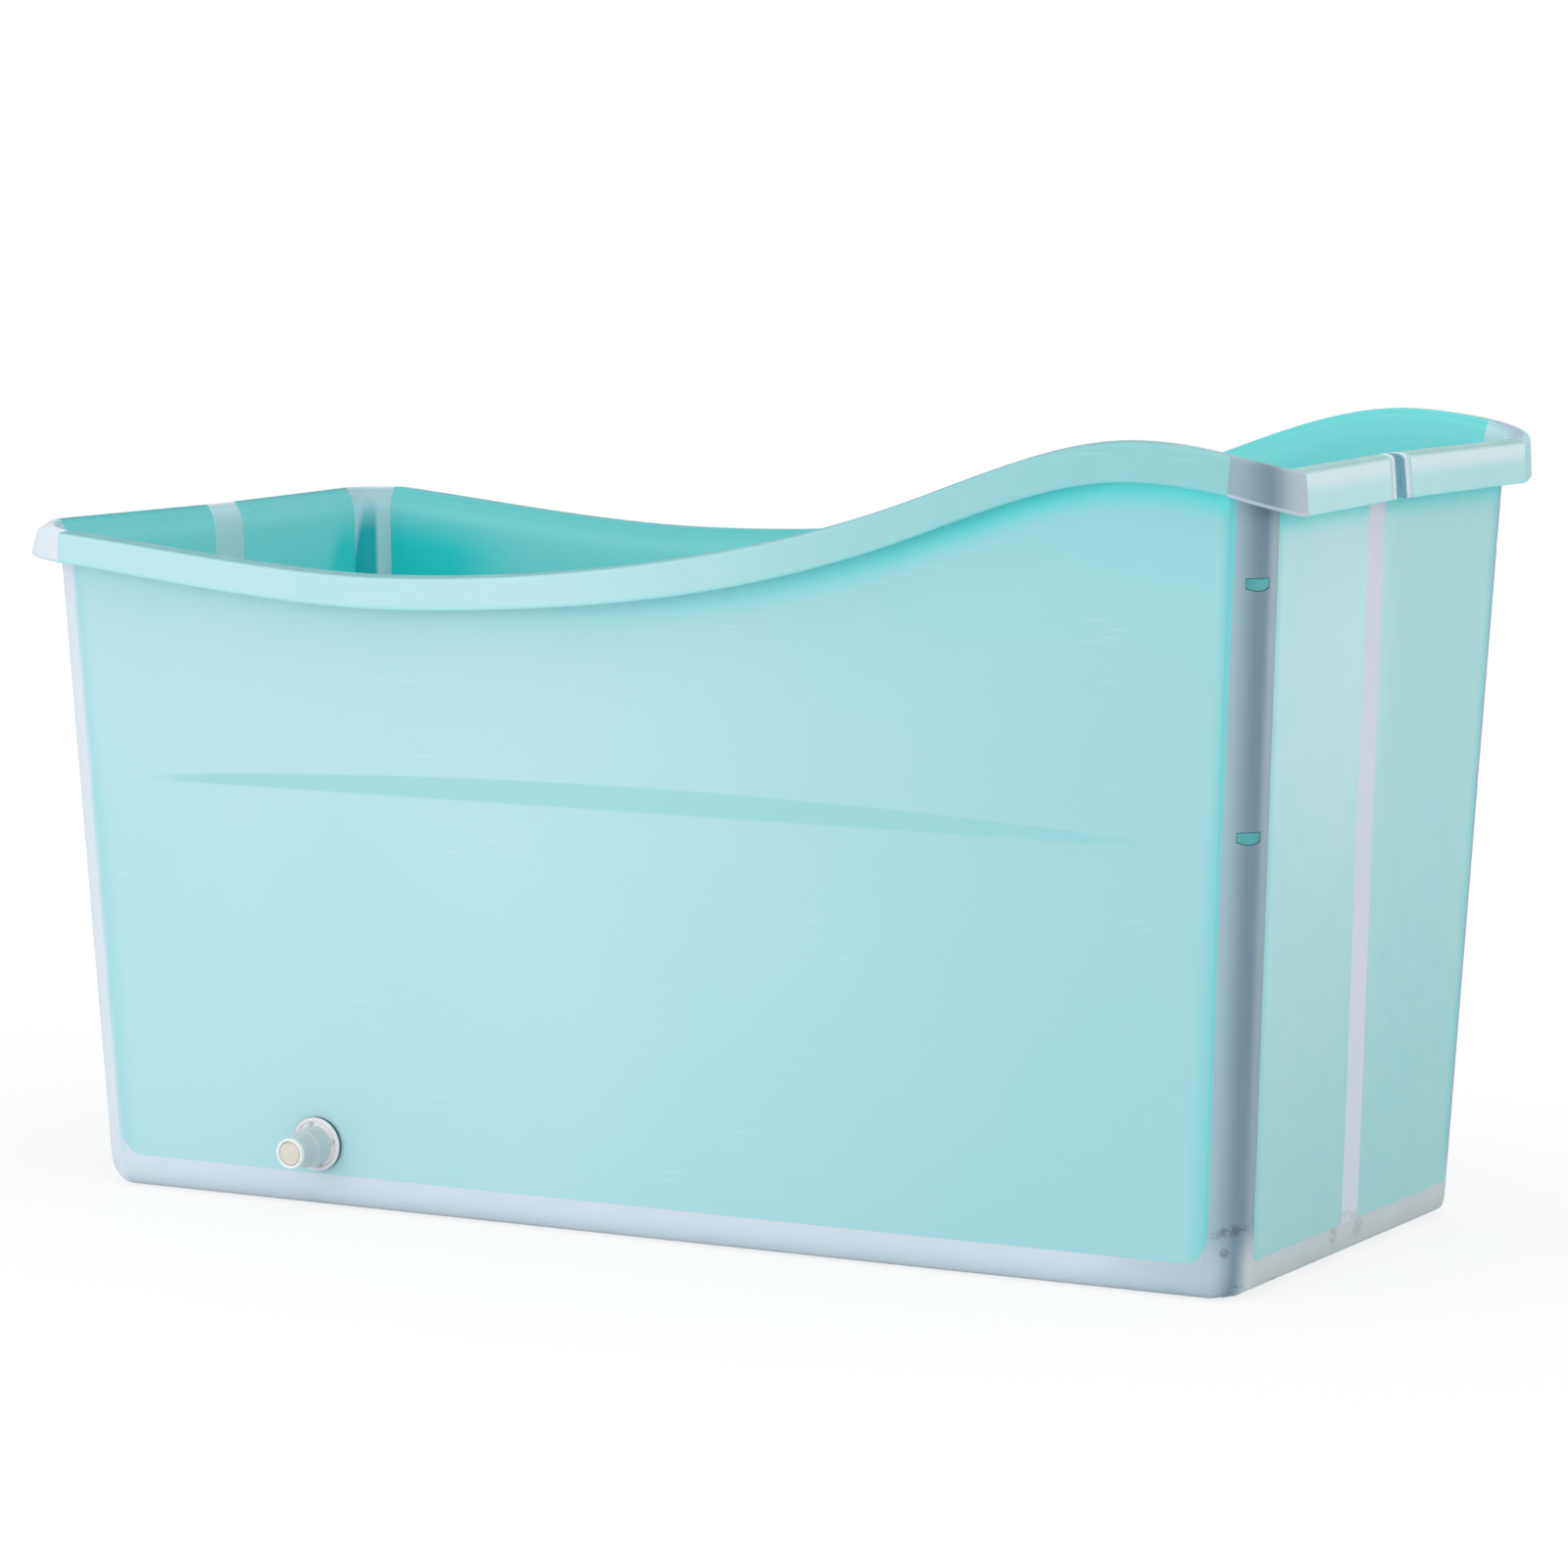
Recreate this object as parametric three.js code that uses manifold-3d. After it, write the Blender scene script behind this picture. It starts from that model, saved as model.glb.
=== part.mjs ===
// Foldable bathtub: stiff panels joined by soft hinge strips, with a drain fitting low in the front side.
// Millimetres, +Z up. X runs along the tub, from the low drain end to the high end, and the front is at -Y.
// The origin is the middle of the footprint, on the surface that the tub stands on.
import * as THREE from "three";
import { mergeVertices } from "three/addons/utils/BufferGeometryUtils.js";
import Module from "manifold-3d";

const wasm = await Module();
wasm.setup();

// Driving dimensions of the tub
const footLength = 986;
const footWidth = 412;
const draftShare = 0.05; // how far each wall leans out for each millimetre of height
const wall = 3;
const cornerRadius = 25;
const seam = 0.3; // gap between pieces that are bonded to each other
const overrun = 5; // how far a cutter passes the face it cuts
const mergeDistance = 1e-4;

// Heights of the rim's top along the sides and at the ends
const lowEndHeight = 528;
const dipHeight = 504.5;
const riseHeight = 563.5;
const crestHeight = 619.5;
const shoulderHeight = 612;
const highEndHeight = 600;

// Where along the side the rim dips, climbs and crests
const dipPlace = -190;
const risePlace = 228;
const crestPlace = 430;
const lowSlopeShare = -0.09;
const riseSlopeShare = 0.33;
const shoulderSlopeShare = -0.2;

// Rolled rim
const rimOverhang = 50; // from the wall's foot to the skirt's outer face
const sideSkirt = 28;
const endSkirt = 30;
const flareDrop = 26;
const flareReach = 6;
const rimRound = 7;
const rimCrown = 0.6; // how much the rim's top rises from its outer edge to its inner one
const lipRound = 3;
const flareBendShare = 0.4; // share of the flare's reach that lies in its lower half

// Bottom band
const sideBandHeight = 26;
const endBandHeight = 26;
const sideBandRadius = 12;
const endBandRadius = 9;
const bandHeelDepth = 3.6; // depth of the end band beside a corner, where it must clear the side band
const bandHeelLength = 14;
const bandHeelStep = 2;

// End walls
const lowStripHalfWidth = 20;
const highStripHalfWidth = 15;
const stripWidening = 5; // how much wider a middle strip is at the rim
const notchHalfWidth = 9;
const endBow = 14; // how far the middle of each end bends inwards at the rim

// Shallow field pressed into the long sides under a crescent facet
const fieldHalfLength = 457;
const fieldTop = 328;
const fieldDepth = 2.5;
const crescentHeight = 19;
const crescentTip = 1;
const fieldEdge = 4;

// Links that show through windows in the corner strips
const lowerLinkDrop = 260; // from the end's rim down to the link's middle
const upperLinkDrop = 80;
const linkHeight = 11;
const linkDepth = 1.4;
const linkCoverShare = 0.5; // share of the corner's quarter turn that a link covers

// Floor
const floorThickness = 3.2;
const floorEndInset = 23; // from the end wall's foot to the floor's end, measured on the hinge line
const seamStripWidth = 12;
const gussetThickness = 2.5;
const gussetLift = 0.4;
const gussetInset = 11; // from the end wall's foot to the gusset's outer edge

// Drain fitting
const drainPlace = -285;
const drainHeight = 50;
const flangeRadius = 21;
const flangeThickness = 3;
const flangeRound = 1;
const gasketThickness = 2;
const gasketRadius = 20.4;
const tailRadius = 11;
const tailBore = 9;
const tailFit = 0.4;
const hubRadius = 12;
const hubLength = 8;
const ribCount = 4;
const ribThickness = 3;
const ribReach = 17.5;
const spoutBackRadius = 13.7;
const spoutTipRadius = 11;
const spoutLength = 26;
const spoutBeadRadius = 11.7;
const spoutBeadLength = 3;
const nutRadius = 18;
const nutThickness = 4;
const washerThickness = 1.2;
const plugFit = 0.35;
const plugLength = 13;
const plugSink = 1;
const plugChamfer = 1.2;

// Steps that approximate curves
const sideSteps = 24;
const cornerSteps = 6;
const endSteps = 6;
const endRows = 4;
const bandArcSteps = 4;
const turnSteps = 28;

// Finishes
const finish = (color, roughness) => new THREE.MeshStandardMaterial({ color, roughness, metalness: 0 });
const mint = finish(0xb7e3e6, 0.38);
const softHinge = finish(0xc6d3dc, 0.5);
const cornerHinge = finish(0x93aebb, 0.5);
const linkTeal = finish(0x4f9a9e, 0.45);
const whitePlastic = finish(0xe6e8e6, 0.4);
const creamPlastic = finish(0xd9d2c9, 0.5);
const darkRubber = finish(0x3f6f74, 0.7);

// Derived sizes
const halfLength = footLength / 2;
const halfWidth = footWidth / 2;
const quarterTurn = Math.PI / 2;
const arcShare = 1 - Math.SQRT1_2; // how far the middle of a rounding stays from its corner's sides
const halfLengthAt = (z) => halfLength + draftShare * z;
const halfWidthAt = (z) => halfWidth + draftShare * z;
const rimFaceAt = (z) => rimOverhang - draftShare * z;
const shoulderPlace = halfLengthAt(highEndHeight) - cornerRadius;
const lowCornerPlace = -(halfLengthAt(lowEndHeight) - cornerRadius);

const tub = new THREE.Group();

// Geometry helpers

// Solid body from a list of closed rings, each a list of points; outlines give the two ends' flat shapes.
function loft(rings, firstOutline, lastOutline) {
  const count = rings[0].length;
  const positions = rings.flatMap((ring) => ring.flatMap((point) => point.toArray()));
  const faces = [];
  for (let r = 0; r + 1 < rings.length; r++) {
    for (let i = 0; i < count; i++) {
      const next = (i + 1) % count;
      const a = r * count + i;
      const b = r * count + next;
      faces.push([a, b, b + count], [a, b + count, a + count]);
    }
  }
  const last = (rings.length - 1) * count;
  for (const [i, j, k] of cap(firstOutline)) faces.push([i, k, j]);
  for (const [i, j, k] of cap(lastOutline)) faces.push([last + i, last + j, last + k]);
  return facingOut(positions, faces);
}

// Triangles of a flat outline, all turning the way the outline does.
function cap(outline) {
  const points = outline.map(([a, b]) => new THREE.Vector2(a, b));
  const turn = Math.sign(THREE.ShapeUtils.area(points));
  return THREE.ShapeUtils.triangulateShape(points, []).map(([i, j, k]) => {
    const area = THREE.ShapeUtils.area([points[i], points[j], points[k]]);
    return Math.sign(area) === turn ? [i, j, k] : [i, k, j];
  });
}

// Indexed geometry whose faces point away from the material.
function facingOut(positions, faces) {
  const corner = (i) => new THREE.Vector3().fromArray(positions, i * 3);
  const volume = faces.reduce((sum, [i, j, k]) => sum + corner(i).dot(corner(j).cross(corner(k))), 0);
  const index = faces.flatMap(([i, j, k]) => (volume < 0 ? [i, k, j] : [i, j, k]));
  const geometry = new THREE.BufferGeometry();
  geometry.setAttribute("position", new THREE.Float32BufferAttribute(positions, 3));
  geometry.setIndex(index);
  return geometry;
}

// Solid for joining and cutting.
function solidOf(geometry) {
  const bare = geometry.clone();
  bare.deleteAttribute("normal");
  bare.deleteAttribute("uv");
  const merged = mergeVertices(bare, mergeDistance);
  const mesh = new wasm.Mesh({
    numProp: 3,
    vertProperties: new Float32Array(merged.attributes.position.array),
    triVerts: new Uint32Array(merged.index.array),
  });
  return new wasm.Manifold(mesh);
}

function geometryOf(solid) {
  const mesh = solid.getMesh();
  const geometry = new THREE.BufferGeometry();
  geometry.setAttribute("position", new THREE.Float32BufferAttribute(mesh.vertProperties, 3));
  geometry.setIndex([...mesh.triVerts]);
  return geometry;
}

const cut = (body, ...cutters) =>
  geometryOf(cutters.reduce((rest, cutter) => rest.subtract(solidOf(cutter)), solidOf(body)));
const join = (...parts) => geometryOf(parts.map(solidOf).reduce((sum, part) => sum.add(part)));

function add(name, geometry, material, parent = tub) {
  geometry.deleteAttribute("normal");
  geometry.computeVertexNormals();
  const mesh = new THREE.Mesh(geometry, material);
  mesh.name = name;
  parent.add(mesh);
  return mesh;
}

// Rim height along a long side

const rimKnots = [
  [lowCornerPlace, lowEndHeight, lowSlopeShare],
  [dipPlace, dipHeight, 0],
  [risePlace, riseHeight, riseSlopeShare],
  [crestPlace, crestHeight, 0],
  [shoulderPlace, shoulderHeight, shoulderSlopeShare],
];

// Smooth curve through the knots, each with its own height and slope.
function rimHeightAt(x) {
  const last = rimKnots.length - 1;
  const at = Math.min(Math.max(x, rimKnots[0][0]), rimKnots[last][0]);
  const right = Math.max(rimKnots.findIndex(([place]) => place >= at), 1);
  const [x0, z0, slope0] = rimKnots[right - 1];
  const [x1, z1, slope1] = rimKnots[right];
  const span = x1 - x0;
  const t = (at - x0) / span;
  const rise = t * t * (3 - 2 * t);
  const leave = t * (1 - t) * (1 - t);
  const arrive = t * t * (t - 1);
  return z0 + (z1 - z0) * rise + span * (slope0 * leave + slope1 * arrive);
}

// Cross-sections, as pairs of distance outside the wall's outer face and height

// Wall with its rolled rim, from the lower edge up outside, over the rim and down inside.
function wallSection(top, skirt, base, field = []) {
  const face = rimFaceAt(top);
  const under = top - wall;
  const flareMiddle = top - flareDrop / 2;
  const bend = flareReach * flareBendShare;
  return [
    [0, base],
    ...field,
    [0, top - flareDrop],
    [bend, flareMiddle],
    [flareReach + lipRound, under - lipRound / 3],
    [face - wall - rimRound / 2, under - rimRound / 4],
    [face - wall, under - rimRound],
    [face - wall, top - skirt],
    [face, top - skirt],
    [face, top - rimRound],
    [face - rimRound * arcShare, top - rimCrown - rimRound * arcShare],
    [face - rimRound, top - rimCrown],
    [flareReach, top],
    [flareReach - lipRound * Math.SQRT1_2, top - lipRound * arcShare],
    [flareReach - lipRound, top - lipRound],
    [bend - wall, flareMiddle],
    [-wall, top - flareDrop],
    ...field.map(([out, z]) => [out - wall, z]).reverse(),
    [-wall, base],
  ];
}

// Upright band that turns in under the tub; depth is how far in it reaches.
function bandSection(height, radius, depth) {
  const outerTurn = Math.acos(1 - depth / radius);
  const innerTurn = Math.acos(Math.min((radius - depth) / (radius - wall), 1));
  const steps = Array.from({ length: bandArcSteps + 1 }, (_, i) => i / bandArcSteps);
  const arc = (size, turn) => [size * Math.cos(turn) - radius, radius - size * Math.sin(turn)];
  return [
    [0, height],
    ...steps.map((t) => arc(radius, t * outerTurn)),
    ...steps.map((t) => arc(radius - wall, (1 - t) * innerTurn)),
    [-wall, height],
  ];
}

// Places in space for a section point, from where the section stands

// On a long side: share runs from -1 at the low corner strip to 1 at the high one.
const onSide = (side, share) => ([out, z]) => {
  const reach = halfLengthAt(z) - cornerRadius - seam;
  return new THREE.Vector3(share * reach, side * (halfWidthAt(z) + out), z);
};

// On a corner: turn runs from 0, where it meets the end wall, to a quarter turn at the long side.
const onCorner = (end, side, turn) => ([out, z]) => {
  const radius = cornerRadius + out;
  const x = halfLengthAt(z) - cornerRadius + radius * Math.cos(turn);
  const y = halfWidthAt(z) - cornerRadius + radius * Math.sin(turn);
  return new THREE.Vector3(end * x, side * y, z);
};

// On an end wall, at a distance from its middle that may change with the section point.
const onEnd = (end, side, distanceAt) => ([out, z]) => {
  const distance = distanceAt(out, z);
  const bow = (endBow * z) / endTopOf(end);
  const bent = bow * (1 - distance / (halfWidthAt(z) - cornerRadius));
  return new THREE.Vector3(end * (halfLengthAt(z) + out - bent), side * distance, z);
};

function loftSections(stations) {
  const rings = stations.map(({ outline, place }) => outline.map(place));
  return loft(rings, stations[0].outline, stations[stations.length - 1].outline);
}

// Long sides

// Shares of the side's length where its sections stand, with pairs at the field's edges.
function sideShares() {
  const reach = halfLengthAt(fieldTop) - cornerRadius - seam;
  const even = Array.from({ length: sideSteps + 1 }, (_, i) => (2 * i) / sideSteps - 1);
  const edges = [fieldHalfLength, fieldHalfLength - fieldEdge].map((x) => x / reach);
  const near = (share) => edges.some((edge) => Math.abs(Math.abs(share) - edge) < 1 / sideSteps / 2);
  const kept = even.filter((share) => !near(share));
  return [...kept, ...edges, ...edges.map((share) => -share)].sort((a, b) => a - b);
}

function fieldOutline(share) {
  const x = share * (halfLengthAt(fieldTop) - cornerRadius - seam);
  const inside = Math.abs(x) < fieldHalfLength - fieldEdge / 2;
  const swell = Math.max(1 - (x / fieldHalfLength) ** 2, 0);
  const facetTop = fieldTop + crescentTip + (crescentHeight - crescentTip) * swell;
  return [
    [inside ? -fieldDepth : 0, fieldTop],
    [0, facetTop],
  ];
}

function sidePanel(side) {
  const base = sideBandHeight + seam;
  const stations = sideShares().map((share) => {
    const top = rimHeightAt(share * shoulderPlace);
    return { outline: wallSection(top, sideSkirt, base, fieldOutline(share)), place: onSide(side, share) };
  });
  return loftSections(stations);
}

const endTopOf = (end) => (end > 0 ? highEndHeight : lowEndHeight);
const cornerTurns = Array.from({ length: cornerSteps + 1 }, (_, i) => (quarterTurn * i) / cornerSteps);

// Corner strip with its piece of rim, which falls from the side's height to the end's.
function cornerStrip(end, side) {
  const stations = cornerTurns.map((turn) => {
    const share = turn / quarterTurn;
    const endTop = endTopOf(end);
    const sideTop = end > 0 ? shoulderHeight : lowEndHeight;
    const top = endTop + (sideTop - endTop) * share;
    const skirt = endSkirt + (sideSkirt - endSkirt) * share;
    return { outline: wallSection(top, skirt, sideBandHeight + seam), place: onCorner(end, side, turn) };
  });
  const windows = [lowerLinkDrop, upperLinkDrop].map((drop) => linkBlock(end, side, drop, 0));
  return cut(loftSections(stations), ...windows);
}

// Block in a corner's outer face: the window at no clearance, or the link that lies in it.
function linkBlock(end, side, drop, clearance) {
  const height = endTopOf(end) - drop;
  const half = linkHeight / 2 - clearance;
  const deep = clearance - linkDepth;
  const front = clearance ? -clearance : overrun;
  const outline = [
    [deep, height - half],
    [front, height - half],
    [front, height + half],
    [deep, height + half],
  ];
  const slack = clearance / cornerRadius;
  const first = (quarterTurn * (1 - linkCoverShare)) / 2 + slack;
  const span = quarterTurn * linkCoverShare - 2 * slack;
  const stations = cornerTurns.map((turn) => {
    const at = first + (span * turn) / quarterTurn;
    return { outline, place: onCorner(end, side, at) };
  });
  return loftSections(stations);
}

function sideBand(side) {
  const outline = bandSection(sideBandHeight, sideBandRadius, sideBandRadius);
  const low = cornerTurns.map((turn) => ({ outline, place: onCorner(-1, side, turn) }));
  const high = cornerTurns.map((turn) => ({ outline, place: onCorner(1, side, turn) }));
  return loftSections([...low, ...high.reverse()]);
}

// End walls, each in two halves

const stripHalfWidthOf = (end) => (end > 0 ? highStripHalfWidth : lowStripHalfWidth);
const outerShareAt = (out, z) => Math.min(Math.max((out - flareReach) / (rimFaceAt(z) - flareReach), 0), 1);
const cornerEdge = (out, z) => halfWidthAt(z) - cornerRadius - seam;
const stripEdge = (end, gap) => (out, z) =>
  stripHalfWidthOf(end) + stripWidening * outerShareAt(out, z) + gap;
const notchEdge = (out, z) => seam / 2 + notchHalfWidth * outerShareAt(out, z);

// End wall's section, with points between its edges so that a bowed wall bends evenly.
function endOutline(end) {
  const top = endTopOf(end);
  const base = endBandHeight + seam;
  const rise = (top - flareDrop - base) / endRows;
  const field = Array.from({ length: endRows - 1 }, (_, i) => [0, base + rise * (i + 1)]);
  return wallSection(top, endSkirt, base, field);
}

// Piece of an end wall between two edges, each given as its distance from the middle.
function endPiece(end, side, farEdge, nearEdge, steps) {
  const outline = endOutline(end);
  const stations = Array.from({ length: steps + 1 }, (_, i) => {
    const distanceAt = (out, z) => farEdge(out, z) + ((nearEdge(out, z) - farEdge(out, z)) * i) / steps;
    return { outline, place: onEnd(end, side, distanceAt) };
  });
  return loftSections(stations);
}

const endPanel = (end, side) => endPiece(end, side, cornerEdge, stripEdge(end, seam), endSteps);
const middleStripHalf = (end, side) => endPiece(end, side, stripEdge(end, 0), notchEdge, 2);

function endBand(end, side) {
  const heel = bandSection(endBandHeight, endBandRadius, bandHeelDepth);
  const full = bandSection(endBandHeight, endBandRadius, endBandRadius);
  const inFrom = (inset) => (out, z) => cornerEdge(out, z) - inset;
  return loftSections([
    { outline: heel, place: onEnd(end, side, cornerEdge) },
    { outline: heel, place: onEnd(end, side, inFrom(bandHeelLength)) },
    { outline: full, place: onEnd(end, side, inFrom(bandHeelLength + bandHeelStep)) },
    { outline: full, place: onEnd(end, side, () => seam / 2) },
  ]);
}

// Floor

const floorHinge = halfWidth - sideBandRadius - seam; // distance of a floor half's hinge line from the middle
const floorHingeReach = halfLength - floorEndInset;

// Flat plate from its corners, standing on a height.
function plate(points, height, thickness) {
  const shape = new THREE.Shape(points.map(([x, y]) => new THREE.Vector2(x, y)));
  const geometry = new THREE.ExtrudeGeometry(shape, { depth: thickness, bevelEnabled: false });
  return geometry.translate(0, 0, height);
}

// Strip of a floor half between two distances from the middle, its ends on the diagonals.
function floorStrip(side, near, far) {
  const reachAt = (y) => floorHingeReach - (floorHinge - y);
  const points = [
    [-reachAt(far), side * far],
    [reachAt(far), side * far],
    [reachAt(near), side * near],
    [-reachAt(near), side * near],
  ];
  return plate(points, 0, floorThickness);
}

// Soft triangle between the floor's diagonal end and half of an end wall.
function gusset(end, side) {
  const outer = halfLength - gussetInset;
  const middle = seam / 2;
  const diagonalAt = (y) => floorHingeReach - (floorHinge - y) + 2 * seam;
  const arcX = halfLength - cornerRadius;
  const arcY = halfWidth - cornerRadius;
  const arcRadius = cornerRadius - sideBandRadius - seam;
  const slant = arcRadius * Math.SQRT1_2;
  const points = [
    [outer, middle],
    [outer, arcY - seam],
    [arcX + arcRadius, arcY],
    [arcX + slant, arcY + slant],
    [diagonalAt(arcY + slant), arcY + slant],
    [diagonalAt(middle), middle],
  ];
  return plate(points.map(([x, y]) => [end * x, side * y]), gussetLift, gussetThickness);
}

// Drain fitting, turned about an axis that points straight out of the wall.
// Distances along it start at the wall's face.

const fieldSlopeShare = fieldDepth / (fieldTop - sideBandHeight);
const drainSink = fieldSlopeShare * (drainHeight - sideBandHeight); // how deep the field is at the drain
const drainAxisTilt = Math.atan(draftShare - fieldSlopeShare);
const gasketFace = seam + gasketThickness;
const flangeBack = gasketFace + seam;
const flangeFront = flangeBack + flangeThickness;
const hubFront = flangeFront + hubLength;
const spoutBack = hubFront + seam;
const spoutTip = spoutBack + spoutLength;
const nutFront = -(wall + seam + washerThickness + seam);
const nutBack = nutFront - nutThickness;
const washerBack = -(wall + seam + washerThickness);

// Ring or tube from closed pairs of radius and distance.
function turned(profile) {
  const points = [...profile, profile[0]].map(([radius, along]) => new THREE.Vector2(radius, along));
  return new THREE.LatheGeometry(points, turnSteps);
}

// Solid of revolution from pairs of radius and distance that start and end on the axis.
function solidTurned(profile) {
  const points = profile.map(([radius, along]) => new THREE.Vector2(radius, along));
  return new THREE.LatheGeometry(points, turnSteps);
}

function rod(radius, from, to) {
  return solidTurned([
    [0, from],
    [radius, from],
    [radius, to],
    [0, to],
  ]);
}

function tube(bore, radius, from, to) {
  return turned([
    [bore, from],
    [radius, from],
    [radius, to],
    [bore, to],
  ]);
}

function drainBody() {
  const flange = turned([
    [tailBore, nutBack],
    [tailRadius, nutBack],
    [tailRadius, flangeBack],
    [flangeRadius, flangeBack],
    [flangeRadius, flangeFront - flangeRound],
    [flangeRadius - flangeRound, flangeFront],
    [hubRadius, flangeFront],
    [hubRadius, hubFront],
    [tailBore, hubFront],
  ]);
  const ribs = Array.from({ length: ribCount }, (_, i) => drainRib((i + 0.5) / ribCount));
  return join(flange, ...ribs);
}

// Wedge between the hub and the flange.
function drainRib(turnShare) {
  const start = tailBore + (hubRadius - tailBore) / 2;
  const profile = [
    [start, flangeFront - flangeThickness / 2],
    [ribReach, flangeFront - flangeThickness / 2],
    [ribReach, flangeFront + flangeRound],
    [hubRadius + flangeRound, hubFront - flangeRound],
    [start, hubFront - flangeRound],
  ];
  const shape = new THREE.Shape(profile.map(([x, y]) => new THREE.Vector2(x, y)));
  const geometry = new THREE.ExtrudeGeometry(shape, { depth: ribThickness, bevelEnabled: false });
  return geometry.translate(0, 0, -ribThickness / 2).rotateY(turnShare * 2 * Math.PI);
}

function drainSpout() {
  return turned([
    [tailBore, spoutBack],
    [spoutBackRadius - flangeRound, spoutBack],
    [spoutBackRadius, spoutBack + flangeRound],
    [spoutTipRadius, spoutTip - spoutBeadLength],
    [spoutBeadRadius, spoutTip - spoutBeadLength / 2],
    [spoutTipRadius, spoutTip],
    [tailBore, spoutTip],
  ]);
}

function drainPlug() {
  const radius = tailBore - plugFit;
  const front = spoutTip - plugSink;
  return solidTurned([
    [0, front - plugLength],
    [radius - plugChamfer, front - plugLength],
    [radius, front - plugLength + plugChamfer],
    [radius, front - plugChamfer / 2],
    [radius - plugChamfer / 2, front],
    [0, front],
  ]);
}

// Group whose Y axis points straight out of the front wall at the drain.
function drainFrame() {
  const frame = new THREE.Group();
  frame.position.set(drainPlace, drainSink - halfWidthAt(drainHeight), drainHeight);
  frame.rotation.x = Math.PI + drainAxisTilt;
  frame.updateMatrixWorld(true);
  return frame;
}

// Assembly

const drain = drainFrame();
tub.add(drain);

const drainHole = rod(tailRadius + tailFit, -wall - overrun, overrun).applyMatrix4(drain.matrixWorld);
const sides = [
  ["front", -1],
  ["rear", 1],
];
const ends = [
  ["low", -1],
  ["high", 1],
];

for (const [sideName, side] of sides) {
  const panel = sidePanel(side);
  add(sideName + "_panel", side < 0 ? cut(panel, drainHole) : panel, mint);
  add(sideName + "_base_band", sideBand(side), softHinge);
  add(sideName + "_floor_panel", floorStrip(side, seamStripWidth + seam, floorHinge), mint);
  add(sideName + "_floor_seam_strip", floorStrip(side, seam / 2, seamStripWidth), softHinge);
  for (const [endName, end] of ends) {
    const corner = sideName + "_" + endName;
    add(corner + "_corner_strip", cornerStrip(end, side), cornerHinge);
    add(corner + "_lower_link", linkBlock(end, side, lowerLinkDrop, seam), linkTeal);
    add(corner + "_upper_link", linkBlock(end, side, upperLinkDrop, seam), linkTeal);
    add(endName + "_end_" + sideName + "_panel", endPanel(end, side), mint);
    add(endName + "_end_" + sideName + "_strip", middleStripHalf(end, side), softHinge);
    add(endName + "_end_" + sideName + "_band", endBand(end, side), softHinge);
    add(corner + "_gusset", gusset(end, side), softHinge);
  }
}

add("drain_gasket", tube(tailRadius + tailFit, gasketRadius, seam, gasketFace), darkRubber, drain);
add("drain_body", drainBody(), whitePlastic, drain);
add("drain_spout", drainSpout(), whitePlastic, drain);
add("drain_plug", drainPlug(), creamPlastic, drain);
add("drain_washer", tube(tailRadius + tailFit, nutRadius, washerBack, -(wall + seam)), darkRubber, drain);
add("drain_nut", tube(tailRadius + tailFit, nutRadius, nutBack, nutFront), whitePlastic, drain);

export default tub;
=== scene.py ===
# Foldable bathtub: moulded panels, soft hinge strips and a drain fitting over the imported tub.
# Metres, +Z up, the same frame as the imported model.
import math

import bmesh
import bpy
from mathutils import Matrix, Vector


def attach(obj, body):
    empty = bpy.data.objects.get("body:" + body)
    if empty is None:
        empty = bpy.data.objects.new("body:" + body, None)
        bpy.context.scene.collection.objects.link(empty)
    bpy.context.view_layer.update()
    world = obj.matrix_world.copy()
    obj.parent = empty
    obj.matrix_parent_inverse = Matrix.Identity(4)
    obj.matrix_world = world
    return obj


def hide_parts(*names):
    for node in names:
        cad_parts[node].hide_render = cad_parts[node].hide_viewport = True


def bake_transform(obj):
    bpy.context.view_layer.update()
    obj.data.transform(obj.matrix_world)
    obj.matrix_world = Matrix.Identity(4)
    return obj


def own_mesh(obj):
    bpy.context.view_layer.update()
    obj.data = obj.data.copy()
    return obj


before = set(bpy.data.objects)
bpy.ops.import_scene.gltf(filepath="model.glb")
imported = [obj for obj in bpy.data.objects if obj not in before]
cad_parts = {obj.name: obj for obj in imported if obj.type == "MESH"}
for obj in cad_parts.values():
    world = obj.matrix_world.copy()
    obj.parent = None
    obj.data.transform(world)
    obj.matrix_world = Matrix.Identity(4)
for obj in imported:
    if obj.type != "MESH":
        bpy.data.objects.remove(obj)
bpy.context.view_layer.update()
scene = bpy.context.scene
scene.view_settings.view_transform = "Standard"
print("frame loaded:", len(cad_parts), "nodes")

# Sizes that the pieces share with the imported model
tub = {
    "halfLength": 0.493,
    "halfWidth": 0.206,
    "draft": 0.05,
    "wall": 0.003,
    "corner": 0.025,
    "seam": 0.00005,
    "overhang": 0.050,
    "lowSkirt": 0.0228,
    "highSkirt": 0.0335,
    "lowEnd": 0.528,
    "highEnd": 0.600,
    "shoulder": 0.612,
    "sideBand": 0.026,
    "endBand": 0.026,
    "endLift": 0.003,
    "bow": 0.014,
    "rimReach": 0.498,
}
cornerMiddle = (tub["halfLength"] - tub["corner"], tub["halfWidth"] - tub["corner"])

# Place along the side, height and slope of the rim's top
rimKnots = (
    (-0.4944, 0.528, -0.09),
    (-0.190, 0.5045, 0.0),
    (0.228, 0.5635, 0.33),
    (0.430, 0.6195, 0.0),
    (0.498, 0.612, -0.2),
)


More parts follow.
